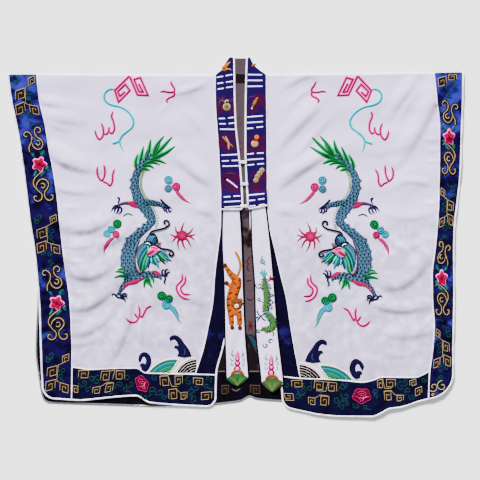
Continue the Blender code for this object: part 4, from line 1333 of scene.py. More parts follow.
def make_back():
    """The back, flat on the floor: panel, bands, piping and binding."""
    lines = back_lines()

    def skins_of(net, wall):
        out, drop = net
        return flat_skins(1.0, out, drop, np.zeros_like(out), wall)

    columns = back_middle_columns(lines)
    foot = level(BACK_HEM_SEAM - PIPING_CLEAR)
    net = plan(columns, BACK_STEPS, [lines["shoulder"], foot], [BACK_LENGTH_STEPS])
    skins = skins_of(net, BACK_WALL)
    # The back lies inside up; its inside is painted in shade
    put_cloth("back_cloth", "back", skins, "lining satin", "white satin")
    rows = [level(BACK_HEM_SEAM - PIPING_HALF), level(BACK_HEM_SEAM + PIPING_HALF)]
    net = plan(columns, BACK_STEPS, rows, [BACK_PIPING_STEPS])
    skins = skins_of(net, crowned(net[0].T, BACK_WALL, BINDING_EDGE).T)
    put_trim("back_hem_piping_cloth", "back_hem_piping", skins, "back piping")
    skins = skins_of(back_foot_net(lines, BINDING_INSET), BACK_WALL)
    put_cloth("back_hem_band_cloth", "back_hem_band", skins, "back figured satin")
    for side in SIDES:
        skins = skins_of(back_side_net(lines, side, BINDING_INSET), BACK_WALL)
        name = f"back_side_band_cloth_{side}"
        put_cloth(name, f"back_side_band_{side}", skins, "back figured satin")
        seam = lines[f"{side}_seam"]
        columns = [moved(seam, -PIPING_HALF), moved(seam, PIPING_HALF)]
        net = plan(columns, [BACK_PIPING_STEPS], *back_side_rows(lines, side, BINDING_INSET))
        skins = skins_of(net, crowned(net[0], BACK_WALL, BINDING_EDGE))
        name = f"back_side_piping_cloth_{side}"
        put_trim(name, f"back_side_piping_{side}", skins, "back piping")
    net = strip_net(back_rim(lines, 0.0), back_rim(lines, BINDING_WIDTH))
    skins = skins_of(net, crowned(net[0], BACK_WALL, BACK_BINDING_EDGE))
    # The back's white binding, painted in shade
    put_trim("back_binding_cloth", "back_binding", skins, "grey binding")


def streamer_net(side, inset):
    """Net of a streamer with its open edges set in by inset. Its foot comes to a point: it rises from the
    tip with a power of the distance from the middle."""
    outer = section_line(STREAMER_SECTIONS[side], "outer_edge")
    inner = section_line(STREAMER_SECTIONS[side], "inner_edge")
    corners = STREAMER_CORNERS[side]

    def foot(out):
        at = np.full_like(out, corners)
        middle = (outer(at) + inner(at)) / 2
        reach = (outer(at) - inner(at)) / 2
        off = np.clip(np.abs(out - middle) / reach, 0.0, 1.0)
        return corners + STREAMER_POINT * (1.0 - off**POINT_BEND) - inset * POINT_INSET

    return plan(
        [moved(outer, -inset), moved(inner, inset)],
        [STREAMER_STEPS],
        [level(UNDER_COLLAR), level(corners - STREAMER_POINT), foot],
        [steps(STREAMER_LENGTH), STREAMER_POINT_STEPS],
    )


def make_streamers():
    """The two hanging strips with black bindings."""
    for side in SIDES:
        out, drop = streamer_net(side, STREAMER_BINDING_WIDTH + BINDING_GAP)
        skins = flat_skins(SIGN[side], out, drop, streamer_low(side, out, drop), STREAMER_WALL)
        name = f"streamer_cloth_{side}"
        put_cloth(name, f"streamer_{side}", skins, "streamer satin")
        outside = rim(streamer_net(side, 0.0))
        out, drop = strip_net(outside, rim(streamer_net(side, STREAMER_BINDING_WIDTH)))
        wall = crowned(out, STREAMER_BINDING_WALL, BINDING_EDGE)
        skins = flat_skins(SIGN[side], out, drop, streamer_low(side, out, drop), wall)
        name = f"streamer_binding_cloth_{side}"
        put_trim(name, f"streamer_binding_{side}", skins, "black binding")


def make_closures():
    """Three white tabs that hold the collar's edges together. Their thickness falls from the middle with
    the fourth power of the distance, along and across."""
    half_length = CLOSURE_LENGTH / 2
    half_width = CLOSURE_WIDTH / 2
    for closure in CLOSURES:
        columns = [level(closure.across - half_length), level(closure.across + half_length)]
        rows = [level(closure.drop - half_width), level(closure.drop + half_width)]
        out, drop = plan(columns, [CLOSURE_STEPS[0]], rows, [CLOSURE_STEPS[1]])
        low = collar_low(drop + half_width) + COLLAR_BINDING_WALL + SEAM_GAP
        bulge = 1.0 - ((out - closure.across) / half_length) ** 4 * 0.5
        bulge = bulge * (1.0 - ((drop - closure.drop) / half_width) ** 4 * 0.5)
        skins = flat_skins(1.0, out, drop, low, CLOSURE_WALL * (0.5 + 0.9 * bulge))
        put_trim(f"{closure.name}_tab", closure.name, skins, "white binding")


# Embroidery: lines and patches of stitches drawn on the chart


THREADS = {
    "gold": (0.325, 0.245, 0.12), "gold dark": (0.0757, 0.0535, 0.0257), "brown": (0.00819, 0.00369, 0.00334),
    "crimson": (0.194, 0.0003, 0.0199), "dark crimson": (0.0593, 0.00166, 0.00877), "pink": (0.465, 0, 0.139),
    "pale pink": (0.95, 0.0781, 0.455), "magenta": (0.126, 0.00112, 0.0252), "rose": (0.259, 0.0007, 0.0467),
    "teal": (0, 0.16, 0.2), "dark teal": (0.00555, 0.0331, 0.046), "pale teal": (0.0002, 0.739, 0.95),
    "bright teal": (0, 0.25, 0.36), "green": (0.00473, 0.0505, 0.012),
    "dark green": (0.00211, 0.0185, 0.00764), "leaf": (0, 0.121, 0.0261), "mint": (0, 0.95, 0.21),
    "lime": (0.0927, 0.233, 0.0116), "steel": (0.0208, 0.0527, 0.0897), "pale steel": (0.0459, 0.144, 0.215),
    "slate": (0.00934, 0.0147, 0.0385), "navy": (0.00408, 0.00155, 0.0296),
    "deep navy": (0.00193, 0.0009, 0.00945), "violet": (0.0458, 0.00806, 0.0698),
    "black": (0.002, 0.00156, 0.0026), "white": (0.95, 0.95, 0.95), "cream": (0.95, 0.928, 0.405),
    "olive": (0.0339, 0.0303, 0.0121), "grey": (0.0571, 0.0602, 0.0708), "orange": (0.36, 0.06, 0),
    "amber": (0.4, 0.15, 0), "rust": (0.0521, 0.012, 0.00402), "red": (0.204, 0.00192, 0.00396),
    "earth": (0.181, 0.0509, 0.0112), "mauve": (0.0584, 0.0316, 0.0495), "lilac": (0.278, 0.252, 0.95),
    "gleam": (0.95, 0.95, 0.95), "bronze": (0.0969, 0.0714, 0.0155), "flame": (0.391, 0, 0.1),
    "jade": (0, 0.164, 0.0504), "glow": (0, 0.433, 0.131), "tendril": (0.00332, 0.0258, 0.0126),
    "tendril teal": (0.00409, 0.0345, 0.0338), "wave": (0.00738, 0.0873, 0.0659),
    "moss": (0.0307, 0.0764, 0.0184), "pale moss": (0.0945, 0.187, 0.0416),
}


def spline(points, spacing):
    """Even steps along a smooth curve through chart points: a cubic whose slope at each point follows its
    neighbours. Extra columns, such as a width, run along with the places."""
    points = np.asarray(points, dtype=float)
    if len(points) < 3:
        points = np.array([points[0], points.mean(axis=0), points[-1]])
    spans = np.hypot(*np.diff(points[:, :2], axis=0).T) ** 0.5
    at = np.concatenate([[0.0], np.cumsum(np.maximum(spans, 1e-3))])
    slopes = np.gradient(points, at, axis=0, edge_order=1)
    fine = np.linspace(0.0, at[-1], 24 * len(points))
    index = np.clip(np.searchsorted(at, fine, side="right") - 1, 0, len(at) - 2)
    span = (at[index + 1] - at[index])[:, None]
    part = (fine - at[index])[:, None] / span
    rest = 1.0 - part
    curve = points[index] * (1.0 + 2.0 * part) * rest**2 + points[index + 1] * (1.0 + 2.0 * rest) * part**2
    curve += span * (slopes[index] * part * rest**2 - slopes[index + 1] * rest * part**2)
    run = np.concatenate([[0.0], np.cumsum(np.hypot(*np.diff(curve[:, :2], axis=0).T))])
    count = max(4, math.ceil(run[-1] / spacing))
    even = np.linspace(0.0, run[-1], count + 1)
    return np.stack([np.interp(even, run, curve[:, column]) for column in range(curve.shape[1])], axis=1)


def bent(points, spacing):
    """Steps along a line with sharp corners, each corner kept."""
    points = np.asarray(points, dtype=float)
    pieces = []
    for first, last in zip(points[:-1], points[1:]):
        count = max(1, math.ceil(np.hypot(*(last - first)[:2]) / spacing))
        part = np.linspace(0.0, 1.0, count, endpoint=False)[:, None]
        pieces.append(first * (1.0 - part) + last * part)
    pieces.append(points[-1:])
    return np.concatenate(pieces)


BLUNT = (0.0, 0.0)

# Stitched line: how far a corner may be drawn out, how narrow an end, and how low a thin line may be
MITRE_LIMIT = 0.7
NARROW_END = 0.012
CROWN_PER_WIDTH = 2.2
LEAST_CROWN = 0.45

# Profiles of lines and patches: places across, and lift in stitch heights; the edges lie under the cloth
LINE_ACROSS = np.array([-1.0, -0.72, -0.25, 0.25, 0.72, 1.0])
LINE_LIFT = np.array([-0.55, 0.45, 1.0, 1.0, 0.45, -0.55])
PATCH_RINGS = np.array([0.38, 0.74, 0.93, 1.0])
PATCH_LIFT = np.array([0.96, 0.85, 0.45, -0.55])


def shades(colours, places):
    """Colours for places from -1 to 1, from a list of thread names spread over that range."""
    table = np.array([THREADS[name] for name in colours])
    if len(table) == 1:
        return np.broadcast_to(table[0], (len(places), 3))
    stops = np.linspace(-1.0, 1.0, len(table))
    return np.stack([np.interp(places, stops, table[:, channel]) for channel in range(3)], axis=1)


class Needlework:
    """Gathers embroidery in chart squares, and turns it into one mesh that lies on a surface."""

    def __init__(self, mirrored=False):
        self.parts = []
        self.mirrored = mirrored

    def add(self, places, lift, faces, colour, uv):
        """One set of points: chart places, lift in stitch heights, faces, colours and UV places."""
        self.parts.append((np.asarray(places, dtype=float), lift, faces, colour, uv))

    def line(self, points, width, colours, lift=0.0, sharp=False, taper=(0.25, 0.25), spacing=0.8):
        """Stitched line: a crowned profile carried along a curve; its width narrows to each end by taper, a
        share of its length. A third column in points gives the width instead."""
        path = bent(points, spacing * 2) if sharp else spline(points, spacing)
        count = len(path)
        ahead = np.gradient(path[:, :2], axis=0)
        if sharp:
            step = np.diff(path[:, :2], axis=0)
            step /= np.linalg.norm(step, axis=1)[:, None]
            before = np.concatenate([step[:1], step])
            after = np.concatenate([step, step[-1:]])
            ahead = before + after
            ahead /= np.maximum(np.einsum("ij,ij->i", ahead, before), MITRE_LIMIT)[:, None]
        else:
            ahead /= np.maximum(np.linalg.norm(ahead, axis=1), 1e-6)[:, None]
        aside = np.stack([-ahead[:, 1], ahead[:, 0]], axis=1)
        along = np.linspace(0.0, 1.0, count)
        half = (path[:, 2] if path.shape[1] > 2 else np.full(count, float(width))) / 2.0
        ends = np.ones(count)
        if taper[0] > 0.0:
            ends *= np.sqrt(np.clip(along / taper[0], NARROW_END, 1.0))
        if taper[1] > 0.0:
            ends *= np.sqrt(np.clip((1.0 - along) / taper[1], NARROW_END, 1.0))
        half = half * ends
        places = path[:, None, :2] + aside[:, None, :] * (half[:, None] * LINE_ACROSS)[..., None]
        crown = np.clip(half * CROWN_PER_WIDTH, LEAST_CROWN, 1.0)[:, None] * LINE_LIFT[None, :]
        columns = len(LINE_ACROSS)
        index = np.arange(count * columns).reshape(count, columns)
        over = np.roll(index, -1, axis=1)
        faces = np.stack([index[:-1], index[1:], over[1:], over[:-1]], axis=-1).reshape(-1, 4)
        first, last = index[0], index[-1]
        caps = [first[[0, 1, 2, 3]], first[[0, 3, 4, 5]], last[[3, 2, 1, 0]], last[[5, 4, 3, 0]]]
        faces = np.concatenate([faces, np.array(caps)])
        run = np.concatenate([[0.0], np.cumsum(np.hypot(*np.diff(path[:, :2], axis=0).T))])
        uv = np.stack(np.broadcast_arrays(run[:, None], half[:, None] * LINE_ACROSS), axis=-1).reshape(-1, 2)
        colour = np.broadcast_to(shades(colours, LINE_ACROSS), (count, columns, 3)).reshape(-1, 3)
        self.add(places.reshape(-1, 2), (crown + lift).reshape(-1), faces, colour, uv)

    def patch(self, outline, colours, lift=0.0, centre=None, smooth=True, points=28):
        """Filled shape: rings drawn in from a closed outline to its centre, highest in the middle. The
        colours run from the centre out."""
        outline = np.asarray(outline, dtype=float)
        closed = np.concatenate([outline, outline[:1]])
        if smooth:
            wrapped = np.concatenate([outline[-2:], outline, outline[:3]])
            fine = spline(wrapped, 0.25)
            first = np.argmin(np.hypot(*(fine[: len(fine) // 2] - outline[0]).T))
            last = len(fine) // 2 + np.argmin(np.hypot(*(fine[len(fine) // 2:] - outline[0]).T))
            closed = fine[first:last + 1]
        run = np.concatenate([[0.0], np.cumsum(np.hypot(*np.diff(closed, axis=0).T))])
        even = np.linspace(0.0, run[-1], points, endpoint=False)
        edge = np.stack([np.interp(even, run, closed[:, 0]), np.interp(even, run, closed[:, 1])], axis=1)
        middle = edge.mean(axis=0) if centre is None else np.asarray(centre, dtype=float)
        self.spot(edge - middle, middle, colours, lift)

    def spot(self, edge, middle, colours, lift=0.0):
        """One domed shape: edge is its outline about its middle."""
        self.stamp(edge, [middle], [0.0], colours, lift)

    def stamp(self, edge, middles, turns, colours, lift):
        """The same domed shape at many places: edge is its outline about the origin."""
        count = len(edge)
        rings = np.concatenate([edge * share for share in PATCH_RINGS])
        shape = np.concatenate([[[0.0, 0.0]], rings, [[0.0, 0.0]]])
        rise = np.concatenate([[1.0], np.repeat(PATCH_LIFT, count), PATCH_LIFT[-1:]])
        ring = np.arange(count)
        ahead = (ring + 1) % count
        pairs = ring[::2]
        near, far = (pairs + 1) % count, (pairs + 2) % count
        faces = [np.stack([np.zeros_like(pairs), 1 + pairs, 1 + near, 1 + far], 1)]
        for inner in range(len(PATCH_RINGS) - 1):
            start, stop = 1 + inner * count, 1 + (inner + 1) * count
            faces.append(np.stack([start + ring, stop + ring, stop + ahead, start + ahead], 1))
        start = 1 + (len(PATCH_RINGS) - 1) * count
        under = np.full_like(pairs, len(shape) - 1)
        faces.append(np.stack([start + far, start + near, start + pairs, under], 1))
        faces = np.concatenate(faces)
        middles = np.asarray(middles, dtype=float)
        turns = np.asarray(turns, dtype=float)
        cos, sin = np.cos(turns)[:, None], np.sin(turns)[:, None]
        x, y = shape.T
        turned = np.stack([x * cos - y * sin, x * sin + y * cos], axis=-1)
        flat = (middles[:, None, :] + turned).reshape(-1, 2)
        spread = np.concatenate([[0.0], np.repeat(PATCH_RINGS, count), [1.0]]) * 2.0 - 1.0
        colour = np.broadcast_to(shades(colours, spread), (len(middles), len(shape), 3)).reshape(-1, 3)
        all_faces = (faces[None] + (np.arange(len(middles)) * len(shape))[:, None, None]).reshape(-1, 4)
        self.add(flat, np.tile(rise, len(middles)) + lift, all_faces, colour, flat)

    def build(self, name, surface):
        """One object of all that was drawn, lying on the surface, a function of across and drop."""
        counts = np.array([len(part[0]) for part in self.parts])
        starts = np.concatenate([[0], np.cumsum(counts)[:-1]])
        x, y = np.concatenate([part[0] for part in self.parts]).T
        if self.mirrored:
            wider = MIRROR_WIDER(y) * (MIRROR_WIDER_FROM - x)
            x, y = MIRROR_SUM(y) - x + wider, y + MIRROR_DROP(y) + wider * MIRROR_WIDER_LOWER
        across, drop = from_chart(x, y)
        lift = np.concatenate([part[1] for part in self.parts]) * sizes().stitch_height * 1000.0
        points = to_world(1.0, across, drop, surface(across, drop) + lift)
        faces = np.concatenate([part[2] + start for part, start in zip(self.parts, starts)])
        owner = np.repeat(np.arange(len(self.parts)), [len(part[2]) for part in self.parts])
        corners = points[faces]
        middles = np.add.reduceat(points, starts, axis=0) / counts[:, None]
        spokes = np.cross(corners[:, 2] - corners[:, 0], corners[:, 3] - corners[:, 1])
        volume = np.einsum("ij,ij->i", spokes, corners.mean(axis=1) - middles[owner])
        inside_out = np.bincount(owner, volume, len(self.parts)) < 0.0
        faces = np.where(inside_out[owner][:, None], faces[:, ::-1], faces)
        colour = np.concatenate([part[3] for part in self.parts])
        piece = put_mesh(
            name,
            points,
            faces,
            np.concatenate([part[4] for part in self.parts]) * CHART_SQUARE * MM,
            np.concatenate([colour, np.ones((len(colour), 1))], axis=1),
            thread_material(),
            keep_turn=True,
        )
        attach(piece, "root")
        return piece


# The right front's embroidery is the left one's turned over: sum of both sides' places, and how much lower.
# Near the foot it is spread towards the front edge: how much, from which place, and how much lower with it
MIRROR_SUM = smooth_line(
    ((76, 487), (100, 485.5), (122, 483.5), (145, 484.8), (156, 487.0), (178, 491.0), (205, 490.5),
     (240, 492.5), (262, 492.5), (295, 494.0), (340, 496.5), (358, 495.8), (372, 495.8))
)
MIRROR_DROP = smooth_line(((75, 0), (200, 0.5), (250, 1.0), (300, 2.0), (340, 4.6), (358, 4.9), (372, 4.9)))
MIRROR_WIDER = smooth_line(((336, 0), (340, 0), (358, 0.11), (372, 0.11)))
MIRROR_WIDER_FROM = 197.2
MIRROR_WIDER_LOWER = 0.45


def on_front(side):
    """Upper skin of a front, as a function of across and drop."""
    return lambda across, drop: front_low(side, across * SIGN[side], drop) + FRONT_WALL


def on_collar(across, drop):
    """Upper skin of the collar."""
    return collar_low(drop) + COLLAR_WALL


def on_streamer(side):
    """Upper skin of a streamer."""
    return lambda across, drop: streamer_low(side, across * SIGN[side], drop) + STREAMER_WALL


def on_back(across, drop):
    """Upper skin of the back."""
    return np.full_like(drop, BACK_WALL)


def ring_points(radius, count=16, wave=0.0, lobes=5, turn=0.0):
    """Round outline, or one with lobes."""
    angle = np.linspace(0.0, 2.0 * math.pi, count, endpoint=False)
    reach = radius * (1.0 + wave * np.cos(lobes * (angle - turn)))
    return np.stack([reach * np.cos(angle), reach * np.sin(angle)], axis=1)


def curl(x, y, radius, turns=1.2, turn=0.0, way=1.0, count=9):
    """Chart points of a spiral from its middle out."""
    part = np.linspace(0.12, 1.0, count)
    angle = turn + way * part * turns * 2.0 * math.pi
    return np.stack([x + radius * part * np.cos(angle), y + radius * part * np.sin(angle)], axis=1)


# Square spiral of the fret, from its outer start to its inner end, in shares of its two sides
KEY = ((0.0, 1), (0.0, 0.0), (1, 0.0), (1, 1), (0.3, 1), (0.3, 0.36), (0.68, 0.36), (0.68, 0.66))
Key = namedtuple("Key", "x y side_x side_y down_x down_y")


def draw_key(work, key, bright="gold"):
    """One fret: a dark ground under a gold square spiral."""
    corner = np.array([key.x, key.y])
    side = np.array([key.side_x, key.side_y])
    down = np.array([key.down_x, key.down_y])
    box = np.array([corner, corner + side, corner + side + down, corner + down])
    middle = box.mean(axis=0)
    work.patch(middle + (box - middle) * 1.06, ("brown",), 0.0, smooth=False, points=16)
    path = corner + np.array(KEY)[:, :1] * side + np.array(KEY)[:, 1:] * down
    work.line(path, 0.45, (bright,), 0.7, sharp=True, taper=BLUNT)


def draw_stem(work, points):
    """Gold line with a dark edge, as between two frets."""
    work.line(points, 2.4, ("brown",), 0.0, sharp=True, taper=BLUNT)
    work.line(points, 0.6, ("gold",), 0.6, sharp=True, taper=BLUNT)


def draw_scroll(work, points, ground, gold):
    """Curled gold line on a dark ground, of the two widths given."""
    work.line(points, ground, ("brown",), 0.0, taper=(0.08, 0.08))
    work.line(points, gold, ("gold",), 0.7, taper=(0.05, 0.05), spacing=0.6)


def draw_flower(work, x, y, radius, turn=-1.4, narrow=1.0):
    """Red star flower with a pale rim and a dark middle."""
    star = ring_points(radius, 40, 0.20, 5, turn) * (narrow, 1.0)
    work.spot(star, (x, y), ("pale pink", "pale pink"), 0.2)
    work.spot(star * 0.86, (x, y), ("dark crimson", "crimson", "crimson", "rose"), 0.9)
    for angle in turn + np.arange(5) * 2.0 * math.pi / 5 + math.pi / 5:
        away = np.array([narrow * math.cos(angle), math.sin(angle)]) * (radius * 0.55)
        points = ((x, y), (x + away[0] * 0.5, y + away[1] * 0.5), (x + away[0], y + away[1]))
        work.line(points, 0.5, ("dark crimson",), 1.6)


def draw_rose(work, x, y, width, height, lean):
    """Folded rose of the hem: a crimson ground with pink edges of petals."""
    cos, sin = math.cos(lean), math.sin(lean)

    def turned(points):
        across, up = (np.asarray(points, dtype=float) * (width / 2, height / 2)).T
        return np.stack([across * cos - up * sin, across * sin + up * cos], axis=1)

    edge = turned(ring_points(1.0, 28, 0.09, 5, 1.57))
    work.spot(edge, (x, y), ("dark crimson", "dark crimson"), 0.0)
    work.line(np.concatenate([edge, edge[:2]]) + (x, y), 0.5, ("flame",), 0.7, taper=BLUNT)
    for petal in (
        ((-0.86, 0.1), (-0.5, 0.16), (-0.1, 0.66), (-0.14, 0.9)),
        ((0.86, 0.1), (0.5, 0.16), (0.1, 0.66), (0.14, 0.9)),
        ((-0.62, -0.3), (0.0, -0.66), (0.62, -0.3)), ((-0.5, -0.02), (0.0, -0.34), (0.5, -0.02), (0.1, 0.42)),
        ((-0.24, 0.1), (0.02, -0.08), (0.24, 0.14), (0.0, 0.34), (-0.28, 0.22)),
    ):
        work.line(turned(petal) + (x, y), 0.5, ("flame", "pink", "pale pink"), 1.3, taper=(0.2, 0.2))


def draw_leaf(work, x1, y1, x2, y2):
    """Pointed leaf from one place to another."""
    middle = ((x1 + x2) / 2 + (y2 - y1) * 0.12, (y1 + y2) / 2 - (x2 - x1) * 0.12)
    work.line(((x1, y1), middle, (x2, y2)), 3.8, ("dark teal", "green", "teal"), 0.1, taper=(0.5, 0.6))


def draw_vine(work, x, y, radius, turn, way):
    """Dark green vine: a curl that runs out into a smaller one the other way, with two leaves."""
    first = curl(x, y, radius, 1.25, turn, way)
    end = first[-1]
    angle = turn + way * 2.5 * math.pi
    on = np.array([-math.sin(angle), math.cos(angle)]) * way
    middle = end + on * radius * 1.1
    work.line(first, 1.0, ("tendril", "tendril teal"), -0.1, taper=(0.1, 0.1))
    work.line((end, end + on * radius * 0.5, middle, middle + (on[1], -on[0]) * np.full(2, radius * 0.5)),
              0.9, ("tendril",), -0.1, taper=(0.05, 0.3))
    for base, way_out in ((end, 1.0), (middle, -1.0)):
        tip = base + way_out * np.array([on[1], -on[0]]) * radius * 0.8 + on * radius * 0.4
        work.line((base, (base + tip) / 2 + on * 0.3, tip), 1.5, ("tendril teal", "tendril"), -0.1,
                  taper=(0.3, 0.6))


# Side-band pattern, as it lies round the flower at the middle of the left band (chart places)
BAND_FLOWER = (56.8, 303.0)
BAND_FLOWER_SHAPE = {"left": (7.0, -1.2), "right": (7.6, -1.57, 0.72)}
BAND_GOLD = {"left": 0.9, "right": 0.75}
BAND_KEYS = named_rows(Key, (
    (62.6, 356.4, 6.4, -2.8, 0.0, 6.6), (47.6, 368.2, 9.6, -2.6, -0.5, 9),
    (55.4, 379.4, -9.4, 2.6, -0.4, 9.2), (60.2, 382.6, 8.2, 2.4, -0.3, 8.2),
))
BAND_STEMS = (
    ((69.0, 360.2), (58.4, 365.0), (56.8, 381.0), (60.2, 382.6)),
)
BAND_SCROLLS = (
    ((46, 274.6), (44.2, 275.4), (42.6, 273.2), (44.4, 270.6), (48, 271.4), (50.6, 275.6), (49.8, 281),
     (47.4, 286), (47.8, 291.6)),
    ((56.6, 271), (58.8, 271.4), (59.8, 268.8), (57.6, 266.4), (54.6, 267.4), (53.6, 271.4), (55.6, 275.6),
     (60, 278.6), (62, 283), (60, 287.2), (56, 288.2), (52, 285.6), (50.4, 281.6)),
    ((55.6, 279.4), (58.2, 280), (58.6, 283), (56.2, 284), (54.4, 282.2)),
    ((60, 309.6), (55, 313), (50, 317.6), (48.6, 322.6), (52, 328.4), (56.2, 333), (55.4, 338), (51.4, 339.8),
     (48, 337.6), (49, 334.6), (51.4, 335.4)),
    ((51, 326), (53, 321), (57.6, 318), (62.4, 319.4), (64.2, 323.4), (62.4, 327.6), (59.4, 331),
     (59.6, 336.6), (63.4, 339.4), (67.2, 337.6), (67, 334.2), (64.4, 334.4)),
    ((56, 325.6), (58.4, 327), (60.4, 324.6), (58.6, 322.2), (56.2, 323)),
)
BAND_LEAVES = (
    (49, 291.6, 52.4, 296.2), (59.2, 296, 63.8, 289.4), (62, 307.6, 66.6, 311), (56.4, 315.4, 62.2, 310.6),
    (52.6, 309, 49.4, 315.2), (66, 305.4, 62.6, 308.8),
)
BAND_TENDRILS = (
    (44, 252, 2.2, 0.4, 1), (50, 254, 2, 2.2, -1), (51, 355, 2.6, 0.0, 1), (48, 360, 2.2, 2, -1),
    (63, 370, 2.4, 1, 1), (61.4, 376.4, 2.4, 3.6, -1), (50.4, 262, 2, 5, 1), (62, 292, 1.6, 5, 1),
)
BAND_UNITS = {"left": (25.6, 164.3, 303.0), "right": (-3.6, 137.4, 278.2, 419.0)}
BAND_TOP = {"left": 75.4, "right": 73.4}
BAND_FOOT = {"left": 396.0, "right": 394.0}


def band_middle(side):
    """Chart place across the middle of a side band, by the chart place down."""
    lines = LINES[side]

    def middle(y):
        drop = (np.asarray(y, dtype=float) - CHART_SHOULDER) * CHART_SQUARE
        out = (lines["outer_edge"](drop) - BINDING_WIDTH + lines["side_seam"](drop)) / 2
        return CHART_CENTRE + SIGN[side] * out / CHART_SQUARE

    return middle


def band_width(side):
    """Clear width of a side band in chart squares, by the chart place down."""
    lines = LINES[side]

    def width(y):
        drop = (np.asarray(y, dtype=float) - CHART_SHOULDER) * CHART_SQUARE
        return (lines["outer_edge"](drop) - BINDING_WIDTH - lines["side_seam"](drop)) / CHART_SQUARE

    return width


def make_band_motifs():
    """Frets, scrolls, flowers and leaves down the side bands."""
    left_middle = band_middle("left")
    for side in SIDES:
        work = Needlework()
        middle = band_middle(side)
        flip = -SIGN[side]
        for flower_y in BAND_UNITS[side]:

            def place(x, y, flower_y=flower_y, middle=middle, flip=flip, side=side):
                new_y = y - BAND_FLOWER[1] + flower_y
                lean = (middle(new_y + 4.0) - middle(new_y - 4.0)) / 8.0
                old = (left_middle(y + 4.0) - left_middle(y - 4.0)) / 8.0
                narrow = min(1.1, band_width(side)(new_y) / band_width("left")(y))
                new_x = middle(new_y) + flip * (x - left_middle(y)) * narrow
                return float(new_x), float(new_y - (lean - flip * old) * (new_x - middle(new_y)) * 0.5)

            def fits(points, side=side):
                rows = [point[1] for point in points]
                return min(rows) > BAND_TOP[side] and max(rows) < BAND_FOOT[side]

            for key in BAND_KEYS:
                corner = place(key.x, key.y)
                side_end = place(key.x + key.side_x, key.y + key.side_y)
                down_end = place(key.x + key.down_x, key.y + key.down_y)
                if fits((corner, side_end, down_end)):
                    across = np.subtract(side_end, corner)
                    draw_key(work, Key(*corner, *across, *np.subtract(down_end, corner)))
            for stem in BAND_STEMS:
                points = [place(*point) for point in stem]
                if fits(points):
                    draw_stem(work, points)
            for scroll in BAND_SCROLLS:
                points = [place(*point) for point in scroll]
                if fits(points):
                    draw_scroll(work, points, 4.2, BAND_GOLD[side])
            flower = place(*BAND_FLOWER)
            if fits([flower]):
                draw_flower(work, *flower, *BAND_FLOWER_SHAPE[side])
            for x1, y1, x2, y2 in BAND_LEAVES:
                ends = [place(x1, y1), place(x2, y2)]
                if fits(ends):
                    draw_leaf(work, *ends[0], *ends[1])
            for x, y, radius, turn, way in BAND_TENDRILS:
                spot = place(x, y)
                if fits([spot]):
                    draw_vine(work, *spot, radius * 1.2, turn, way * flip)
        if side == "right":
            draw_key(work, Key(456.6, 74.8, -7.8, 0.2, 0.0, 5.0))
            curls = ((433.4, 387.0, 5.2, 0.6), (442.0, 386.0, 5.6, 2.6), (433.0, 395.0, 1.8, 4.0))
            for x, y, radius, turn in curls:
                draw_scroll(work, curl(x, y, radius, 1.35, turn, count=13), 3.0, 0.9)
        work.build(f"side_band_needlework_{side}", on_front(side))


# Hem: frets by corner, side and down; stems; roses; tendrils by place, radius, turn and way
HEM_KEYS = {
    "left": named_rows(Key, (
        (79, 370.6, 9.8, -0.2, -0.8, 7.4), (101.6, 371.4, 8.4, -0.6, -1, 9),
        (124.8, 370.8, -8.4, -0.2, -0.2, 8.4), (93.2, 387.4, 7.2, -0.8, -0.8, 6.4),
        (113.8, 382.8, -7.2, 1.2, -1.6, 8.4), (72.8, 385.4, 5.4, 0.6, -0.2, 6.6),
        (160, 376.4, 8.4, -0.4, 0.4, 9.4), (182.4, 375.8, -7.4, 0.4, 0.2, 8),
        (168.8, 389.6, 8, -0.8, 0.2, 9.6), (187, 392.2, -6, 0.6, 0.0, 6.6),
        (193.4, 377.8, 9.4, 0.6, 0.0, 6.4), (211.8, 391.8, -10.4, 0.8, 0.0, 7.2),
    )),
    "right": named_rows(Key, (
        (291.6, 380.6, 10.4, -0.4, 0.2, 6.6), (294, 400.6, -1, -6.8, -8.6, -0.4),
        (314.6, 381, 8.8, 0.6, -0.6, 8), (336.8, 383, -8, -0.6, -0.2, 8.4),
        (308.4, 397.4, 6.6, 0.6, 0.0, 6.8), (329, 396.6, -8, -0.6, -0.4, 8.8), (377.4, 380.4, 5, -1, 0.4, 8),
        (395.4, 379.6, -8.8, -0.2, 0.0, 7.4), (384.2, 391.6, 6.6, -0.6, 0.6, 8.8),
        (403.4, 395.2, -6.4, 0.4, 0.0, 5.4), (409.6, 380.8, 6.2, -1.6, 0.4, 5.4),
        (421.6, 386.4, -6.4, 2.6, 0.4, 7),
    )),
}
HEM_STEMS = {
    "left": (
        ((101.6, 371.4), (115, 370.6), (112.6, 379.6)), ((116, 371), (125, 370.6)),
        ((93.6, 387.4), (101.6, 386.2), (107, 382.4), (113.6, 382.6)),
        ((160, 376), (168, 375.4), (171.8, 386.4), (178, 386.2)), ((174.6, 376), (183, 375.6)),
        ((169, 389.6), (176.2, 388.6), (180.4, 392.8), (187, 392.2)),
    ),
    "right": (
        ((314.6, 380.8), (328, 382.2), (326, 391.4), (316.4, 390.6)), ((328, 382.2), (337, 383)),
        ((308.6, 397.4), (315, 398.2), (320.4, 394.8), (329, 396.2)),
        ((378, 380.4), (382.6, 378.8), (384.8, 388.6), (392, 388.2)),
        ((384.4, 391), (391, 390.6), (395, 395), (403.4, 395.2)),
    ),
}
HEM_ROSES = {"left": (142.0, 383.8, 11.6, 16.4, -0.5), "right": (361.8, 395.8, 17.6, 14.6, 0.05)}
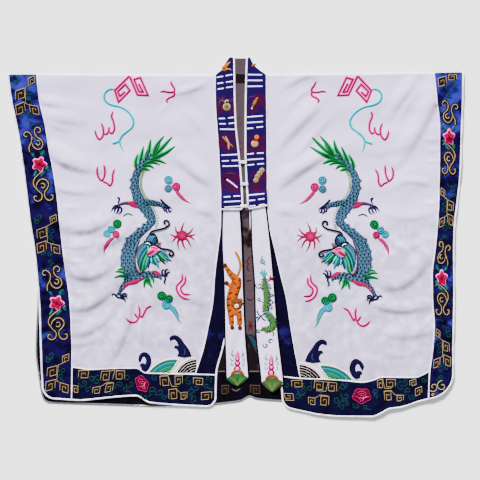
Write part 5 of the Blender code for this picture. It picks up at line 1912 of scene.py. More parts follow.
HEM_TENDRILS = {
    "left": (
        (84, 383, 3, 0.3, 1), (92, 378, 2.8, 2, -1), (88, 390, 2.4, 3.6, 1), (97, 381, 2.8, 1.4, 1),
        (120, 385, 3, 5, -1), (127, 377, 2.8, 1, 1), (126, 389, 2.6, 3, -1), (131, 384, 2.6, 0.2, 1),
        (155, 378, 2.8, 2.6, 1), (153, 390, 3, 4.4, -1), (160, 392, 3, 0.8, 1), (164, 397, 2.4, 2.2, -1),
        (189, 382, 2.6, 1.8, 1), (192, 392, 3.4, 4, -1), (196, 388, 2.6, 0.4, 1), (207, 386, 2.4, 3, -1),
        (193, 398, 2.6, 5.4, 1), (145, 397, 2.2, 1, 1), (110, 392, 2.2, 1.6, -1), (208, 379, 2.2, 4.4, 1),
    ),
    "right": (
        (303, 391, 3, 0.2, 1), (298, 396, 2.6, 2.2, -1), (300, 386, 2.6, 4, 1), (309, 388, 2.8, 1.2, -1),
        (322, 391, 2.6, 3.2, 1), (343, 388, 3.2, 5, -1), (346, 396, 2.8, 0.6, 1), (337, 400, 3, 2.6, -1),
        (340, 406, 2.2, 4.4, 1), (346, 385, 2.6, 1.6, 1), (376, 392, 2.8, 3.8, -1), (357, 406, 2.2, 1, 1),
        (366, 407, 2.2, 3, -1), (401, 387, 3, 2, 1), (408, 391, 2.8, 4.6, -1), (413, 397, 2.2, 0.6, 1),
        (405, 382, 2.2, 5.2, 1), (424, 380, 2.4, 2.4, -1), (347, 404, 2, 0.4, -1), (287, 385, 2.4, 1.4, 1),
    ),
}


def make_hem_motifs():
    """Frets, roses and dark tendrils along the hem bands."""
    for side in SIDES:
        work = Needlework()
        for x, y, radius, turn, way in HEM_TENDRILS[side]:
            draw_vine(work, x, y, radius * 1.15, turn, way)
        for key in HEM_KEYS[side]:
            draw_key(work, key)
        for stem in HEM_STEMS[side]:
            draw_stem(work, stem)
        draw_rose(work, *HEM_ROSES[side])
        work.build(f"hem_needlework_{side}", on_front(side))


# Pink flames, knots and teal ribbons of the fields, and the spider flower's middle and legs
PINK_LINES = (
    ((95, 129.6), (96.2, 135), (99.4, 139.4), (102.6, 136.4), (103.4, 129.6), (101, 122.4)),
    ((103.4, 133.4), (106.4, 134.2), (108.8, 130.6), (109, 126.4)),
    ((108.6, 130.8), (111.6, 133.4), (114.2, 130), (113.6, 122), (111.6, 116), (113.4, 110.8)),
    ((98, 165.8), (97.2, 171), (98.6, 177.2), (101.8, 180.6), (104.6, 175.6), (104.8, 169), (103.6, 164)),
    ((101.8, 180.6), (104.6, 182.2), (106.8, 183), (110, 185.6), (112.4, 181.4), (112.8, 174.6),
     (114.8, 168.2)),
    ((170.6, 80.4), (172, 85), (174.4, 88.6), (174, 91.6), (168.6, 92.2), (164, 91.4), (159.4, 92)),
    ((174.6, 91), (173.8, 95.6), (169.2, 98), (166.6, 100.6), (168, 103)),
    ((182, 272.7), (182, 279.7), (176.5, 286.7), (178.5, 293.7), (183.5, 298), (189.8, 299.3)),
    ((185.6, 275.5), (184.9, 282.5), (180.7, 288), (183.5, 293.7), (191, 294.4)),
    ((125.3, 317.5), (130.2, 321.7), (135.1, 322), (138.6, 318), (139.8, 311.5), (138.4, 305)),
    ((134.6, 313.2), (136.6, 316.4), (138.2, 317.6)),
    ((140, 314.4), (141.6, 317.2), (144.2, 312.9), (147, 308), (151.8, 305.6)),
)
KNOT_LINES = (
    ((129.4, 75.9), (114.8, 90.4), (118.6, 102), (129.8, 90.6), (125.4, 84.2), (117.6, 91.6), (120, 96.2),
     (125, 91.6)),
    ((129.4, 75.9), (137.4, 94.8), (148, 95.4), (140.4, 77.6), (134, 79.4), (139, 91.4), (143.2, 92.2),
     (138.6, 83.4)),
)
RIBBON_LINE = (
    (114.8, 89.3), (109.6, 89.4), (105.4, 92.6), (104.2, 97.6), (106.4, 102), (112, 105), (119, 106.6),
    (125.4, 109.6), (130.8, 115), (133.6, 121.6), (132, 127.4), (127, 131.6), (122.2, 135.6), (119.8, 140.4),
    (120.8, 146), (123.6, 151),
)
RIBBON_FORK = ((120.0, 140.8), (117.0, 142.2), (112.0, 143.8))
SPIDER = (182.0, 235.6)
SPIDER_LEGS = (
    (169.6, 233.6, -2), (172, 242.6, 2), (175.4, 226, -2.4), (178.6, 249.6, 2.4), (184.6, 221.6, -1.4),
    (186.4, 251, 1.4), (193.6, 227.6, 2), (195.6, 240.8, -2), (191.2, 247.6, -1.6), (195.8, 234, 1.2),
)


def draw_pink(work, points, width=1.5, sharp=False):
    """Magenta line with pale pink stitches on both sides."""
    taper = (0.0, 0.0) if sharp else (0.12, 0.12)
    work.line(points, width * 2.4, ("pale pink", "flame", "pale pink"), -0.1, sharp=sharp, taper=taper)
    work.line(points, width, ("magenta",), 0.6, sharp=sharp, taper=taper)


def draw_ball(work, x, y, radius, outside, inside, turn=0.6):
    """Curled cloud: a round patch with a spiral on it."""
    work.spot(ring_points(radius, 20), (x, y), (inside, inside), 0.2)
    work.line(curl(x, y, radius * 0.94, 2.1, turn, count=15), 1.0, (outside,), 0.9, taper=(0.05, 0.05),
              spacing=0.5)


def make_field_motifs():
    """Knots, ribbons, flames, clouds and the spider flower on both fronts."""
    for side in SIDES:
        work = Needlework(mirrored=side == "right")
        for points in PINK_LINES:
            draw_pink(work, points)
        for points in KNOT_LINES:
            draw_pink(work, points, 1.6, sharp=True)
        for points in (RIBBON_LINE, RIBBON_FORK):
            work.line(points, 4.2, ("pale teal",), -0.2, taper=(0.04, 0.1))
            work.line(points, 2.1, ("bright teal", "teal"), 0.6, taper=(0.04, 0.15))
        x, y = SPIDER
        for end_x, end_y, bow in SPIDER_LEGS:
            length = math.hypot(end_x - x, end_y - y)
            middle = (
                (x + end_x) / 2 - (end_y - y) / length * bow,
                (y + end_y) / 2 + (end_x - x) / length * bow,
            )
            work.line(((x, y), middle, (end_x, end_y)), 3.2, ("magenta", "rose"), 0.1, taper=(0.0, 0.8))
        work.spot(ring_points(5.6, 24, 0.10, 8), SPIDER, ("flame", "rose", "magenta"), 0.4)
        draw_ball(work, 168.4, 180.0, 4.6, "dark teal", "bright teal")
        draw_ball(work, 168.4, 188.4, 4.2, "dark teal", "pale steel", 3.0)
        draw_ball(work, 176.2, 186.6, 4.6, "magenta", "flame", 1.6)
        tail = ((176.0, 190.0, 3.8), (179.4, 195.0, 4.0), (184.6, 200.0, 3.2), (192.0, 204.0, 1.0))
        work.line(tail, 3.0, ("crimson", "flame", "rose"), 0.3, taper=(0.1, 0.4))
        draw_ball(work, 117.3, 223.8, 4.9, "dark green", "leaf", 2.0)
        draw_ball(work, 111.6, 229.6, 4.2, "dark teal", "bright teal", 4.0)
        draw_ball(work, 107.0, 233.6, 4.2, "teal", "bright teal")
        draw_ball(work, 116.0, 234.2, 3.9, "magenta", "flame", 1.0)
        tail = ((114.6, 237.4, 3.0), (111.0, 239.4, 3.6), (107.4, 243.4, 4.0), (104.6, 249.0, 3.4),
                (103.8, 255.4, 0.8))
        work.line(tail, 3.0, ("magenta", "flame", "violet"), 0.3, taper=(0.1, 0.4))
        work.line(((122.6, 216.6), (127.4, 213.8), (133.4, 215.4)), 1.8, ("dark green", "green"), 0.1)
        draw_ball(work, 161.6, 295.8, 5.0, "dark green", "leaf", 1.0)
        draw_ball(work, 168.9, 298.7, 4.6, "dark green", "leaf", 3.0)
        draw_ball(work, 166.6, 304.8, 5.2, "teal", "bright teal", 5.0)
        tail = ((168.0, 306.0, 5.0), (172.6, 308.6, 5.6), (176.5, 314.7, 4.8), (178.5, 320.3, 3.0),
                (182.4, 324.6, 0.8))
        work.line(tail, 3.0, ("dark teal", "teal", "bright teal", "dark teal"), 0.2, taper=(0.1, 0.5))
        work.build(f"field_needlework_{side}", on_front(side))


# Dragon: place and width along its body and legs
DRAGON_TAIL = (
    (151.8, 153.6, 3.4), (149, 156.4, 5.6), (145.4, 159.6, 7), (141.2, 165, 8.2), (137.4, 172, 8.8),
    (135.2, 180, 9.6), (135, 188, 10.6), (137.4, 196, 11.6), (142, 204, 12.8), (147.6, 211.4, 12),
    (151.4, 219, 10.6), (150.6, 227.4, 9.4),
)
DRAGON_BODY = (
    (150.6, 224.6, 9), (143.4, 229.8, 9.6), (136, 236.4, 11.6), (130.4, 244.4, 14.2), (128.2, 252.6, 15.6),
    (127.6, 260.4, 16), (128.4, 267.8, 15.6), (131.6, 273.6, 14), (138, 276.6, 10.8), (146, 275, 8.6),
    (152.6, 271.8, 7),
)
DRAGON_LEGS = (
    ((130, 278, 8.4), (125, 284, 7), (120.4, 290.6, 5.6), (119, 295.6, 4.4)),
    ((147, 272.6, 7.4), (154.6, 275.6, 6), (162.6, 277, 4.4)),
)
# Fore legs, their threads, and whether they have scales
FORE_LEGS = (
    (((138.6, 203, 5.6), (131, 203.2, 4.6), (124.6, 203.2, 3.6), (117.4, 205.2, 2.8)),
     ("slate", "violet", "mauve"), False),
    (((143, 202, 7.6), (150, 202.6, 7.2), (157.4, 204, 6.2), (165.8, 206.2, 3.6)), ("slate", "steel", "navy"),
     True),
)
CRIMSON_FLESH = (
    ((127.4, 202.4, 3.4), (132.4, 204.4, 5), (138.4, 207.6, 2.4)),
    ((120.8, 291.6, 1.4), (127.4, 284.2, 3.2), (135.2, 282, 4), (143.2, 278, 2.6)),
    ((151.6, 270.8, 2.4), (155.4, 272.6, 4.6), (162.4, 275.8, 2.2)),
)
CLAWS = (
    ((118.4, 205.4), (115, 206), (112.6, 208.8), (111.2, 211.6)),
    ((118.8, 206.2), (115.4, 208.6), (114.2, 212.6)), ((119.2, 206.4), (118, 210.6), (116, 213.6)),
    ((119.2, 206.2), (121.6, 208.6), (120.8, 212.2), (118.2, 213.6)),
    ((117, 197.6), (119.4, 198.4), (118.8, 201.2), (117.6, 203.8)),
    ((160.2, 198.9), (163.4, 202.4), (167.4, 205.8), (170.9, 208), (172.4, 210.4)),
    ((166, 205.8), (163.8, 208.4), (164.8, 212.2)), ((167.4, 206.6), (166, 210.6), (168.6, 213.4)),
    ((168.6, 207.2), (169.4, 211.6), (171.8, 210.8)),
    ((121.6, 298), (117.2, 297), (114.6, 294.2), (112.4, 294.2), (112.2, 296.8)),
    ((120.8, 297.4), (123.4, 293.8), (127, 294.4), (126.8, 296.6)),
    ((121.4, 298), (125.4, 296), (127.8, 298.8)), ((121, 298.4), (124.4, 298.8), (125.4, 302.4)),
    ((119.4, 293.2), (121, 296.2), (122, 298.6)),
    ((165.6, 277.2), (162.4, 274), (162.2, 270.4), (164.4, 269)),
    ((166, 276.8), (165, 272.4), (166.4, 269.4), (168.6, 269.4)),
    ((166.4, 276.8), (167.6, 272.8), (170.4, 271.6)),
    ((165.6, 277.4), (165, 280.4), (164.2, 282.8), (166.2, 284.4)),
)
TAIL_BLADES = (
    (152.4, 156, 156.4, 145.8, 164.4, 135.4, 3.6), (152.4, 157, 161.6, 148.4, 172.6, 136.4, 4),
    (151.6, 158.6, 163.8, 154, 175.6, 146, 4), (142.6, 164.6, 156, 160.2, 166.4, 163.6, 4),
    (141, 167, 148.6, 165.4, 154.4, 168.6, 3.4), (146.4, 160, 149, 150.4, 150.6, 139, 4),
    (139.6, 163.6, 141.8, 154, 143.6, 146, 3.6), (136, 169, 135.8, 160.8, 138, 153.6, 3.4),
    (138.6, 173, 142.8, 169.4, 148.2, 170.4, 2.8), (151.4, 156.6, 156.4, 150.2, 160.6, 142.6, 3.2),
    (151, 158.8, 158.4, 155.6, 166.6, 151.6, 3.4), (143.4, 163.4, 152.4, 162.4, 160.4, 164.8, 3),
    (148.6, 159.6, 154.8, 158.6, 160.8, 157.4, 3.2), (144.4, 161.4, 145.6, 155.6, 147.4, 149.4, 2.8),
    (140.4, 168.4, 145.4, 168.6, 150.6, 170.8, 2.6),
)
BODY_BLADES = (
    (129, 275.6, 121.4, 271.8, 114.6, 271.8, 2.8), (128.8, 277, 121.4, 275.8, 114, 277.6, 3),
    (127, 271.6, 121.6, 268.8, 117, 270.4, 2.4), (147.6, 277.6, 144.8, 282.4, 144.2, 288.6, 2.8),
    (149, 277.6, 149.4, 282.6, 152.6, 288.2, 3), (150.6, 276.6, 153.2, 279.4, 153.8, 283.4, 2.4),
    (147.8, 277.6, 147, 281.6, 147.8, 285, 2.4),
)
MANE = (
    (146.6, 242.6, 139.6, 248.6, 136.6, 258.6, 3.4, "pale steel", "slate"),
    (147, 244.6, 140.4, 251.4, 137, 262.4, 3.2, "bright teal", "steel"),
    (147.4, 246.4, 141.4, 254.2, 137.8, 266.2, 3, "deep navy", "steel"),
    (147.6, 248.4, 142, 256.8, 138.6, 269.4, 2.6, "bright teal", "leaf"),
    (147.8, 250.4, 143, 259, 140, 271.8, 2.4, "navy", "green"),
    (148.2, 252, 144.2, 260.4, 141.6, 272.2, 2.4, "glow", "leaf"),
    (148.8, 253.4, 145.4, 261, 143.6, 271.4, 2.4, "green", "jade"),
    (149.6, 254.4, 147, 261, 145.6, 270, 2.8, "bright teal", "teal"),
    (150.6, 255.4, 149, 260.4, 148, 268.2, 3.2, "navy", "steel"),
    (151.6, 255.8, 151.4, 260, 152, 264, 2.6, "pale teal", "bright teal"),
    (152, 256, 152.8, 260.4, 155.6, 265, 3, "green", "leaf"),
    (153.8, 255.6, 156, 261, 158.8, 267.6, 3.2, "teal", "bright teal"),
    (155.6, 255, 158, 258.6, 159.8, 262, 2.6, "pale teal", "bright teal"),
    (157, 254, 160.4, 258.6, 165.4, 263.8, 3.2, "green", "dark green"),
    (158.6, 253, 162.4, 257, 168, 262, 2.8, "glow", "leaf"),
    (160, 251.4, 164, 256.6, 171.6, 260.8, 3.4, "teal", "slate"),
    (160.6, 250, 164.6, 252.8, 168.6, 257.6, 2.8, "bright teal", "steel"),
)
WHISKERS = (
    ((148.9, 234.8), (151.8, 231.6), (158.6, 229.6), (165, 227.9), (169.1, 224.4), (168, 221), (164.8, 220.8),
     (164, 223), (166.2, 224.2)),
    ((154.4, 245), (160.4, 248.2), (166.4, 249.2), (171.8, 250.9), (173.7, 253.6), (171.4, 255.8),
     (169, 254.2), (170.6, 252.6)),
)


def draw_blade(work, x1, y1, x2, y2, x3, y3, width):
    """Green fin: a dark blade over a pale one."""
    points = ((x1, y1), (x2, y2), (x3, y3))
    work.line(points, width * 1.9, ("glow", "jade", "glow"), -0.2, taper=(0.2, 0.7))
    work.line(points, width, ("leaf", "green", "dark green"), 0.5, taper=(0.25, 0.8))


def draw_scales(work, path, pitch=3.9, threads=("steel", "pale steel"), dot="deep navy", dot_scale=1.0):
    """Rows of overlapping scales across a body, each with a dark dot, sized to the body's width."""
    body = spline(path, 0.5)
    run = np.concatenate([[0.0], np.cumsum(np.hypot(*np.diff(body[:, :2], axis=0).T))])
    rows = np.arange(pitch * 0.5, run[-1] - pitch * 0.4, pitch * 0.86)
    x = np.interp(rows, run, body[:, 0])
    y = np.interp(rows, run, body[:, 1])
    width = np.interp(rows, run, body[:, 2])
    ahead_x = np.interp(rows + 0.6, run, body[:, 0]) - np.interp(rows - 0.6, run, body[:, 0])
    ahead_y = np.interp(rows + 0.6, run, body[:, 1]) - np.interp(rows - 0.6, run, body[:, 1])
    turn = np.arctan2(ahead_y, ahead_x)
    middles, turns = [], []
    for index in range(len(rows)):
        count = max(1, round((width[index] - 1.2) / pitch))
        offset = 0.5 if index % 2 else 0.0
        places = (np.arange(count) - (count - 1) / 2 + offset) * pitch
        places = places[np.abs(places) < width[index] / 2 - 0.7]
        for place in places:
            away, up = place * math.sin(turn[index]), place * math.cos(turn[index])
            middles.append((x[index] - away, y[index] + up))
            turns.append(turn[index])
    scale = ring_points(1.0, 12) * (pitch * 0.50, pitch * 0.52)
    scale = scale * np.where(scale[:, :1] > 0, 1.15, 0.75)
    work.stamp(scale, middles, turns, threads, 0.55)
    back = np.array(middles) - np.stack([np.cos(turns), np.sin(turns)], axis=1) * pitch * 0.12
    dots = ring_points(dot_scale, 10) * (1.15, 0.85)
    work.stamp(dots, back, turns, (dot,), 1.15)


Fin = namedtuple("Fin", "root reach sweep width threads lift taper")
LARGE_FIN = Fin(0.44, 3.2, 1.8, 1.1, ("lime", "leaf"), 0.35, (0.05, 0.5))
SMALL_FIN = Fin(0.36, 2.2, 1.2, 1.3, ("slate", "green"), 0.1, (0.05, 0.6))


def draw_fins(work, path, kept, ways, fin):
    """Small fins swept back from the edges of a body, each rooted at a share of the body's width."""
    ahead = np.gradient(path[:, :2], axis=0)
    ahead /= np.linalg.norm(ahead, axis=1)[:, None]
    for spot, on in zip(path[kept], ahead[kept]):
        for way in ways:
            out = np.array([-on[1], on[0]]) * way
            root = spot[:2] + out * spot[2] * fin.root
            tip = root + out * fin.reach - on * fin.sweep
            work.line((root, (root + tip) / 2, tip), fin.width, fin.threads, fin.lift, taper=fin.taper)


def make_dragons():
    """The scaled dragon of each front, with its fins, mane, whiskers and claws."""
    for side in SIDES:
        work = Needlework(mirrored=side == "right")
        for blade in TAIL_BLADES + BODY_BLADES:
            draw_blade(work, *blade)
        draw_fins(work, spline(DRAGON_TAIL, 2.0)[9:], slice(None), (-1.0,), LARGE_FIN)
        for points, threads, scaled in FORE_LEGS:
            work.line(points, 5.0, threads, 0.3, taper=(0.05, 0.1))
            if scaled:
                draw_scales(work, points, 3.0)
        for leg in DRAGON_LEGS:
            work.line(leg, 5.0, ("slate", "steel", "slate"), 0.0, taper=(0.05, 0.1))
            draw_scales(work, leg, 3.0)
        for path in (DRAGON_TAIL, DRAGON_BODY):
            work.line(path, 8.0, ("slate", "steel", "violet"), 0.1, taper=(0.05, 0.05))
            draw_scales(work, path)
        for flesh in CRIMSON_FLESH:
            work.line(flesh, 3.0, ("magenta", "rose", "flame"), 1.3, taper=(0.3, 0.3))
        for claw in CLAWS:
            work.line(claw, 2.0, ("deep navy", "navy"), 1.0, taper=(0.05, 0.45), spacing=0.6)
        draw_mane(work)
        draw_head(work)
        for whisker in WHISKERS:
            work.line(whisker, 1.9, ("black",), 2.6, taper=(0.1, 0.06), spacing=0.6)
        work.build(f"dragon_needlework_{side}", on_front(side))


def draw_mane(work):
    """Mane of the dragon: its ground, the bands round it, and its locks."""
    work.patch(
        ((144.0, 241.0), (139.0, 247.0), (136.6, 256.0), (137.4, 265.0), (140.6, 271.4), (145.4, 270.2),
         (149.0, 264.0), (154.0, 262.4), (158.6, 263.4), (162.0, 259.0), (167.0, 259.0), (162.0, 250.0),
         (152.0, 244.0)),
        ("pale teal", "glow", "pale steel"), 0.4,
    )
    work.line(((140.0, 238.6), (136.4, 247.0), (134.6, 257.0), (136.0, 268.0), (140.2, 273.4),
               (145.0, 270.4)), 2.4, ("violet", "mauve", "pale steel"), 1.3, taper=(0.1, 0.1))
    work.line(((136.2, 247.0), (134.9, 258.8), (136.2, 270.2), (140.1, 273.6), (144.2, 269.6)), 0.9,
              ("brown", "dark crimson"), 2.2, taper=(0.1, 0.1))
    for x1, y1, x2, y2, x3, y3, width, first, second in MANE:
        work.line(((x1, y1), (x2, y2), (x3, y3)), width * 1.3, ("slate",), 1.2, taper=(0.15, 0.6))
        work.line(((x1, y1), (x2, y2), (x3, y3)), width * 0.86, (first, second), 1.9, taper=(0.15, 0.6))


def draw_head(work):
    """Head of the dragon: mouth, brow, crest and eye."""
    work.patch(
        ((147.0, 254.4), (149.8, 249.0), (152.4, 246.2), (156.6, 247.0), (161.0, 250.2), (157.0, 252.2),
         (153.6, 254.6), (149.6, 256.6)),
        ("flame", "pale pink"), 2.2,
    )
    work.line(((147.0, 254.6, 2.6), (150.6, 252.8, 4.0), (154.6, 250.2, 1.8)), 3.0, ("crimson", "rose"), 3.0)
    work.line(((151.0, 247.4), (154.4, 247.6), (158.0, 249.0)), 1.2, ("violet", "magenta"), 3.0)
    work.line(((146.4, 253.4), (149.4, 257.0), (154.6, 255.6), (160.6, 250.8)), 1.1, ("navy", "black"), 2.8)
    work.patch(
        ((145.6, 240.4), (148.0, 235.6), (152.6, 233.4), (156.4, 236.6), (157.4, 241.6), (154.6, 245.2),
         (149.6, 245.4)),
        ("steel", "slate"), 2.4,
    )
    for bow in (0.0, 2.0, 4.0):
        work.line(((147.4 + bow, 242.0), (149.4 + bow * 0.9, 237.8), (152.0 + bow, 236.0)), 0.9,
                  ("bright teal",), 3.2)
    work.line(((150.2, 234.4), (153.8, 233.8), (156.8, 237.4), (157.4, 241.6), (155.0, 244.4)), 1.5,
              ("black", "deep navy"), 3.4)
    work.line(((143.8, 240.6), (145.6, 242.4), (149.4, 242.0), (153.0, 243.8)), 2.6, ("black", "deep navy"),
              3.2)
    work.line(((145.6, 243.6), (148.0, 243.2), (150.6, 245.2)), 1.1, ("white",), 4.0)
    work.spot(ring_points(0.9, 10), (148.8, 244.8), ("black",), 4.4)
    for points in (
        ((157.0, 242.4), (159.4, 243.2), (161.4, 242.0)),
        ((156.8, 244.0), (159.0, 245.4), (161.0, 244.6)),
    ):
        work.line(points, 1.3, ("olive", "gold dark"), 2.4)


WAVE_CRESTS = (
    ((144.4, 371.4, 2.4), (147.2, 366.8, 4.8), (148.8, 361.2, 4.8), (147.4, 356.4, 4.8), (144.2, 354.2, 4.2),
     (141.4, 355.8, 3.8), (140, 359.4, 3.2), (139.8, 363, 1.8)),
    ((143.8, 371, 4.6), (144.2, 367.4, 5), (142.2, 365, 4), (140.4, 366.8, 2.2)),
    ((184.4, 357.2, 14), (184.2, 351.4, 9.6), (181.6, 345.2, 6.2), (178.6, 339.8, 4.8), (174.6, 337.2, 4.2),
     (171.2, 338.6, 3.8), (170, 340.8, 2.6)),
    ((181.4, 352.4, 5), (178.8, 348.6, 3.6), (175.8, 346.8, 2.8), (174.4, 348.2, 2)),
)
TEAL_FAN = (174.0, 390.0)
DARK_FAN = (196.8, 381.6)


def arc(centre, radius, first, last, count=9):
    """Chart points along an arc; angles in degrees from the right, counted upwards."""
    angle = np.radians(np.linspace(first, last, count))
    return np.stack([centre[0] + radius * np.cos(angle), centre[1] - radius * np.sin(angle)], axis=1)


def make_waves():
    """Navy crests, and the fans of striped waves, above the hem of each front."""
    teal_threads = ("wave", "teal", "wave", "jade", "leaf", "lime", "moss")
    for side in SIDES:
        work = Needlework(mirrored=side == "right")
        # Ground of the two fans
        outer = arc(TEAL_FAN, 30.2, 144.4, 82.0, 11)
        work.patch(np.concatenate([outer, [(176.2, 366.0), (171.6, 372.6)]]), ("teal", "dark teal"), -0.2,
                   centre=(165.4, 368.8), smooth=False, points=40)
        outer = arc(DARK_FAN, 22.4, 157.0, 90.0, 11)
        work.patch(np.concatenate([outer, [(196.9, 373.0)]]), ("brown", "brown"), -0.2,
                   centre=(189.6, 368.4), smooth=False, points=40)
        for index, colour in enumerate(teal_threads):
            radius = 29.4 - 2.1 * index
            rise = 17.6 / radius
            if rise < 0.99:
                left = 180.0 - math.degrees(math.asin(rise))
                right = 84.0 + 3.4 * index
                work.line(arc(TEAL_FAN, radius, left, right, 13), 2.4, (colour,), 0.3, taper=BLUNT)
        work.line(arc(TEAL_FAN, 31.0, 146.0, 82.0, 13), 0.9, ("cream",), 0.5, taper=BLUNT)
        work.line(((178.8, 359.6), (174.6, 366.2), (170.2, 372.6)), 1.0, ("cream",), 0.6, taper=BLUNT)
        for index in range(7):
            radius = 21.0 - 2.5 * index
            rise = 8.8 / radius
            if rise < 0.96:
                left = 180.0 - math.degrees(math.asin(rise))
                work.line(arc(DARK_FAN, radius + 0.9, left, 90.0, 13), 0.18, ("white",), 0.9, taper=BLUNT)
        work.line(arc(DARK_FAN, 23.6, 158.0, 92.0, 13), 0.9, ("cream",), 0.5, taper=BLUNT)
        for crest in WAVE_CRESTS:
            crest = [(x, y, width * 1.12) for x, y, width in crest]
            work.line(crest, 4.0, ("deep navy", "navy", "deep navy"), 0.8, taper=(0.02, 0.1))
        work.line(((184.0, 355.6), (185.0, 352.0), (184.2, 348.4)), 0.7, ("steel",), 2.0)
        work.build(f"wave_needlework_{side}", on_front(side))


# Collar bars: first and last place of each bar; three rows for each sign
COLLAR_BARS = (
    (216.6, 77.6, 223.4, 76.4), (225.4, 76, 232.8, 74.6), (217, 83.8, 223.6, 82.8),
    (225.8, 82.4, 233.2, 81.4), (217.4, 89.4, 224, 88.4), (226, 87.8, 233.4, 86.8),
    (218.6, 118.8, 225.4, 118.6), (228, 118.2, 235, 117.4), (219.2, 124, 226, 124),
    (228.6, 123.8, 235.4, 123), (219.8, 129.4, 235.8, 129.6), (221.2, 155.4, 238, 154.6),
    (221.8, 161.2, 229.2, 161), (231.4, 160.8, 238.8, 160.6), (222.2, 166.4, 239.2, 166),
    (223.6, 197.2, 230.8, 196.8), (233.2, 196.4, 240.4, 196), (223.8, 202.2, 240.8, 201.2),
    (224.4, 207.4, 241.2, 206.6), (247.4, 74.8, 262.4, 75), (247.2, 80.6, 262.8, 80.6),
    (247, 86.6, 262.8, 86.4), (246.6, 117.2, 263.2, 116), (246.6, 123, 263.2, 121.8),
    (246.6, 128.8, 253.6, 128.2), (256.2, 127.6, 263.4, 126.8), (247, 154.4, 254.2, 153.6),
    (256.8, 153.4, 264, 153), (247, 160, 264, 158.8), (247.2, 165.4, 254.6, 164.6),
    (257.2, 164.2, 264.2, 163.8), (248.2, 195.4, 264.6, 193.8), (248.8, 201, 255.4, 200.2),
    (258, 199.8, 264.8, 198.8), (249.4, 206.4, 255.8, 205.8), (258.6, 205.4, 265.4, 204.4),
)
COLLAR_RIBBONS = (
    ((218.4, 108), (221, 101), (225, 97)), ((230, 103), (232.6, 100), (234, 96.4)),
    ((226, 174.4), (231, 173.4), (236.4, 174.6)), ((248.4, 98.4), (252.4, 96.4), (256, 97)),
)


def make_collar_motifs():
    """Rows of white bars and the small gold emblems of the collar."""
    work = Needlework()
    for points in COLLAR_RIBBONS:
        work.line(points, 1.3, ("violet",), 0.0, taper=(0.3, 0.5))
    for x1, y1, x2, y2 in COLLAR_BARS:
        work.line(((x1, y1), ((x1 + x2) / 2, (y1 + y2) / 2), (x2, y2)), 1.6, ("lilac", "gleam", "lilac"), 0.2,
                  taper=(0.02, 0.02))
    # Gourd on the fold, and the small one opposite
    work.spot(ring_points(3.0, 16), (224.4, 68.4), ("red", "amber"), 0.2)
    work.line(((226.0, 66.6, 3.4), (228.4, 64.0, 2.4), (230.6, 61.6, 1.2)), 2.0, ("amber", "orange"), 0.8)
    work.line(((226.0, 69.6), (229.4, 69.0), (231.6, 70.4)), 1.0, ("gold",), 0.5)
    work.line(((251.6, 66.6, 2.6), (253.6, 65.0, 2.2), (256.6, 64.0, 1.4)), 2.0, ("red", "amber"), 0.4)
    # Fan with ribbons
    work.spot(ring_points(4.0, 22), (226.8, 107.0), ("gold dark", "bronze", "gold"), 0.3)
    for end in ((217.6, 97.4), (218.0, 104.0), (233.0, 98.4), (222.0, 96.0)):
        bend = ((224.6 + end[0]) / 2, 100.4)
        work.line(((226.0, 103.6), bend, end), 0.9, ("violet", "gold dark"), 0.5, taper=(0.1, 0.5))
    work.line(((224.6, 103.4), (226.6, 100.4), (229.2, 102.0)), 1.6, ("gold", "amber"), 1.0)
    # Two crossed clappers
    work.line(((222.4, 136.4, 2.6), (228.2, 142.4, 2.0), (233.8, 147.4, 1.6)), 2.0, ("gold dark", "amber"),
              0.4)
    work.line(((228.8, 150.0, 2.4), (228.4, 143.0, 2.0), (225.4, 136.0, 1.8)), 2.0, ("amber", "gold"), 1.0)
    # White flute with a dark tassel
    work.line(((226.4, 179.2), (232.2, 183.4), (237.8, 188.0)), 1.7, ("pale pink", "white"), 0.6,
              taper=(0.05, 0.05))
    work.line(((223.4, 177.6), (225.6, 178.0), (227.4, 177.0)), 1.4, ("black",), 0.6)
    # Tube with two wraps
    work.line(((252.4, 107.6, 2.2), (254.8, 102.4, 3.2), (258.0, 97.2, 3.0)), 3.0, ("gold dark", "amber"),
              0.5)
    for y, x in ((104.6, 253.8), (99.6, 256.4)):
        work.line(((x - 1.8, y - 0.6), (x, y), (x + 1.8, y + 0.8)), 0.8, ("red",), 1.4)
    work.line(((252.6, 107.2), (251.6, 108.6), (252.6, 109.4)), 1.2, ("pale teal",), 0.8)
    # Gourd
    work.spot(ring_points(3.7, 18), (254.8, 143.8), ("amber", "gold"), 0.5)
    work.spot(ring_points(2.6, 16), (256.8, 137.4), ("amber", "orange"), 0.5)
    work.line(((252.6, 140.2), (255.6, 140.6), (258.4, 141.0)), 1.0, ("red",), 1.3)
    # Basket of rings
    for x, y in ((262.0, 170.4), (259.8, 173.4), (257.6, 176.6), (256.0, 180.4)):
        work.spot(ring_points(2.7, 16), (x, y), ("amber", "gold dark", "gold"), 0.4)
        work.line(curl(x, y, 2.0, 1.1, 0.4), 0.6, ("gold",), 1.4, spacing=0.5)
    work.build("collar_needlework", on_collar)


TIGER_STRIPES = (
    (228.4, 293, 232.4, 291.6), (226.8, 298.4, 231, 297.6), (226.4, 304.4, 230.6, 304),
    (227.6, 310.6, 231.6, 309.4), (229.6, 316.4, 233, 314.6), (236.4, 288, 240.2, 286),
    (233.4, 281.4, 236.4, 284.6), (237.6, 292.6, 234.4, 294.4), (238, 312, 241, 310.4),
    (230.6, 321.6, 234, 320.8), (238.2, 319.6, 241.2, 318.4), (232.4, 276.4, 234.4, 279.4),
    (240.6, 277.6, 238.6, 280.6), (226.6, 270.4, 229.4, 268.8), (229.4, 275, 231.8, 273),
)
SMALL_CLOUDS = (
    (262, 262, 3), (259, 285.4, 3.6), (268.6, 286, 2.4), (270.6, 301.6, 3), (270, 306.6, 2.6),
    (258.8, 299, 2.2), (271.6, 294.6, 2), (257.6, 330.6, 2),
)


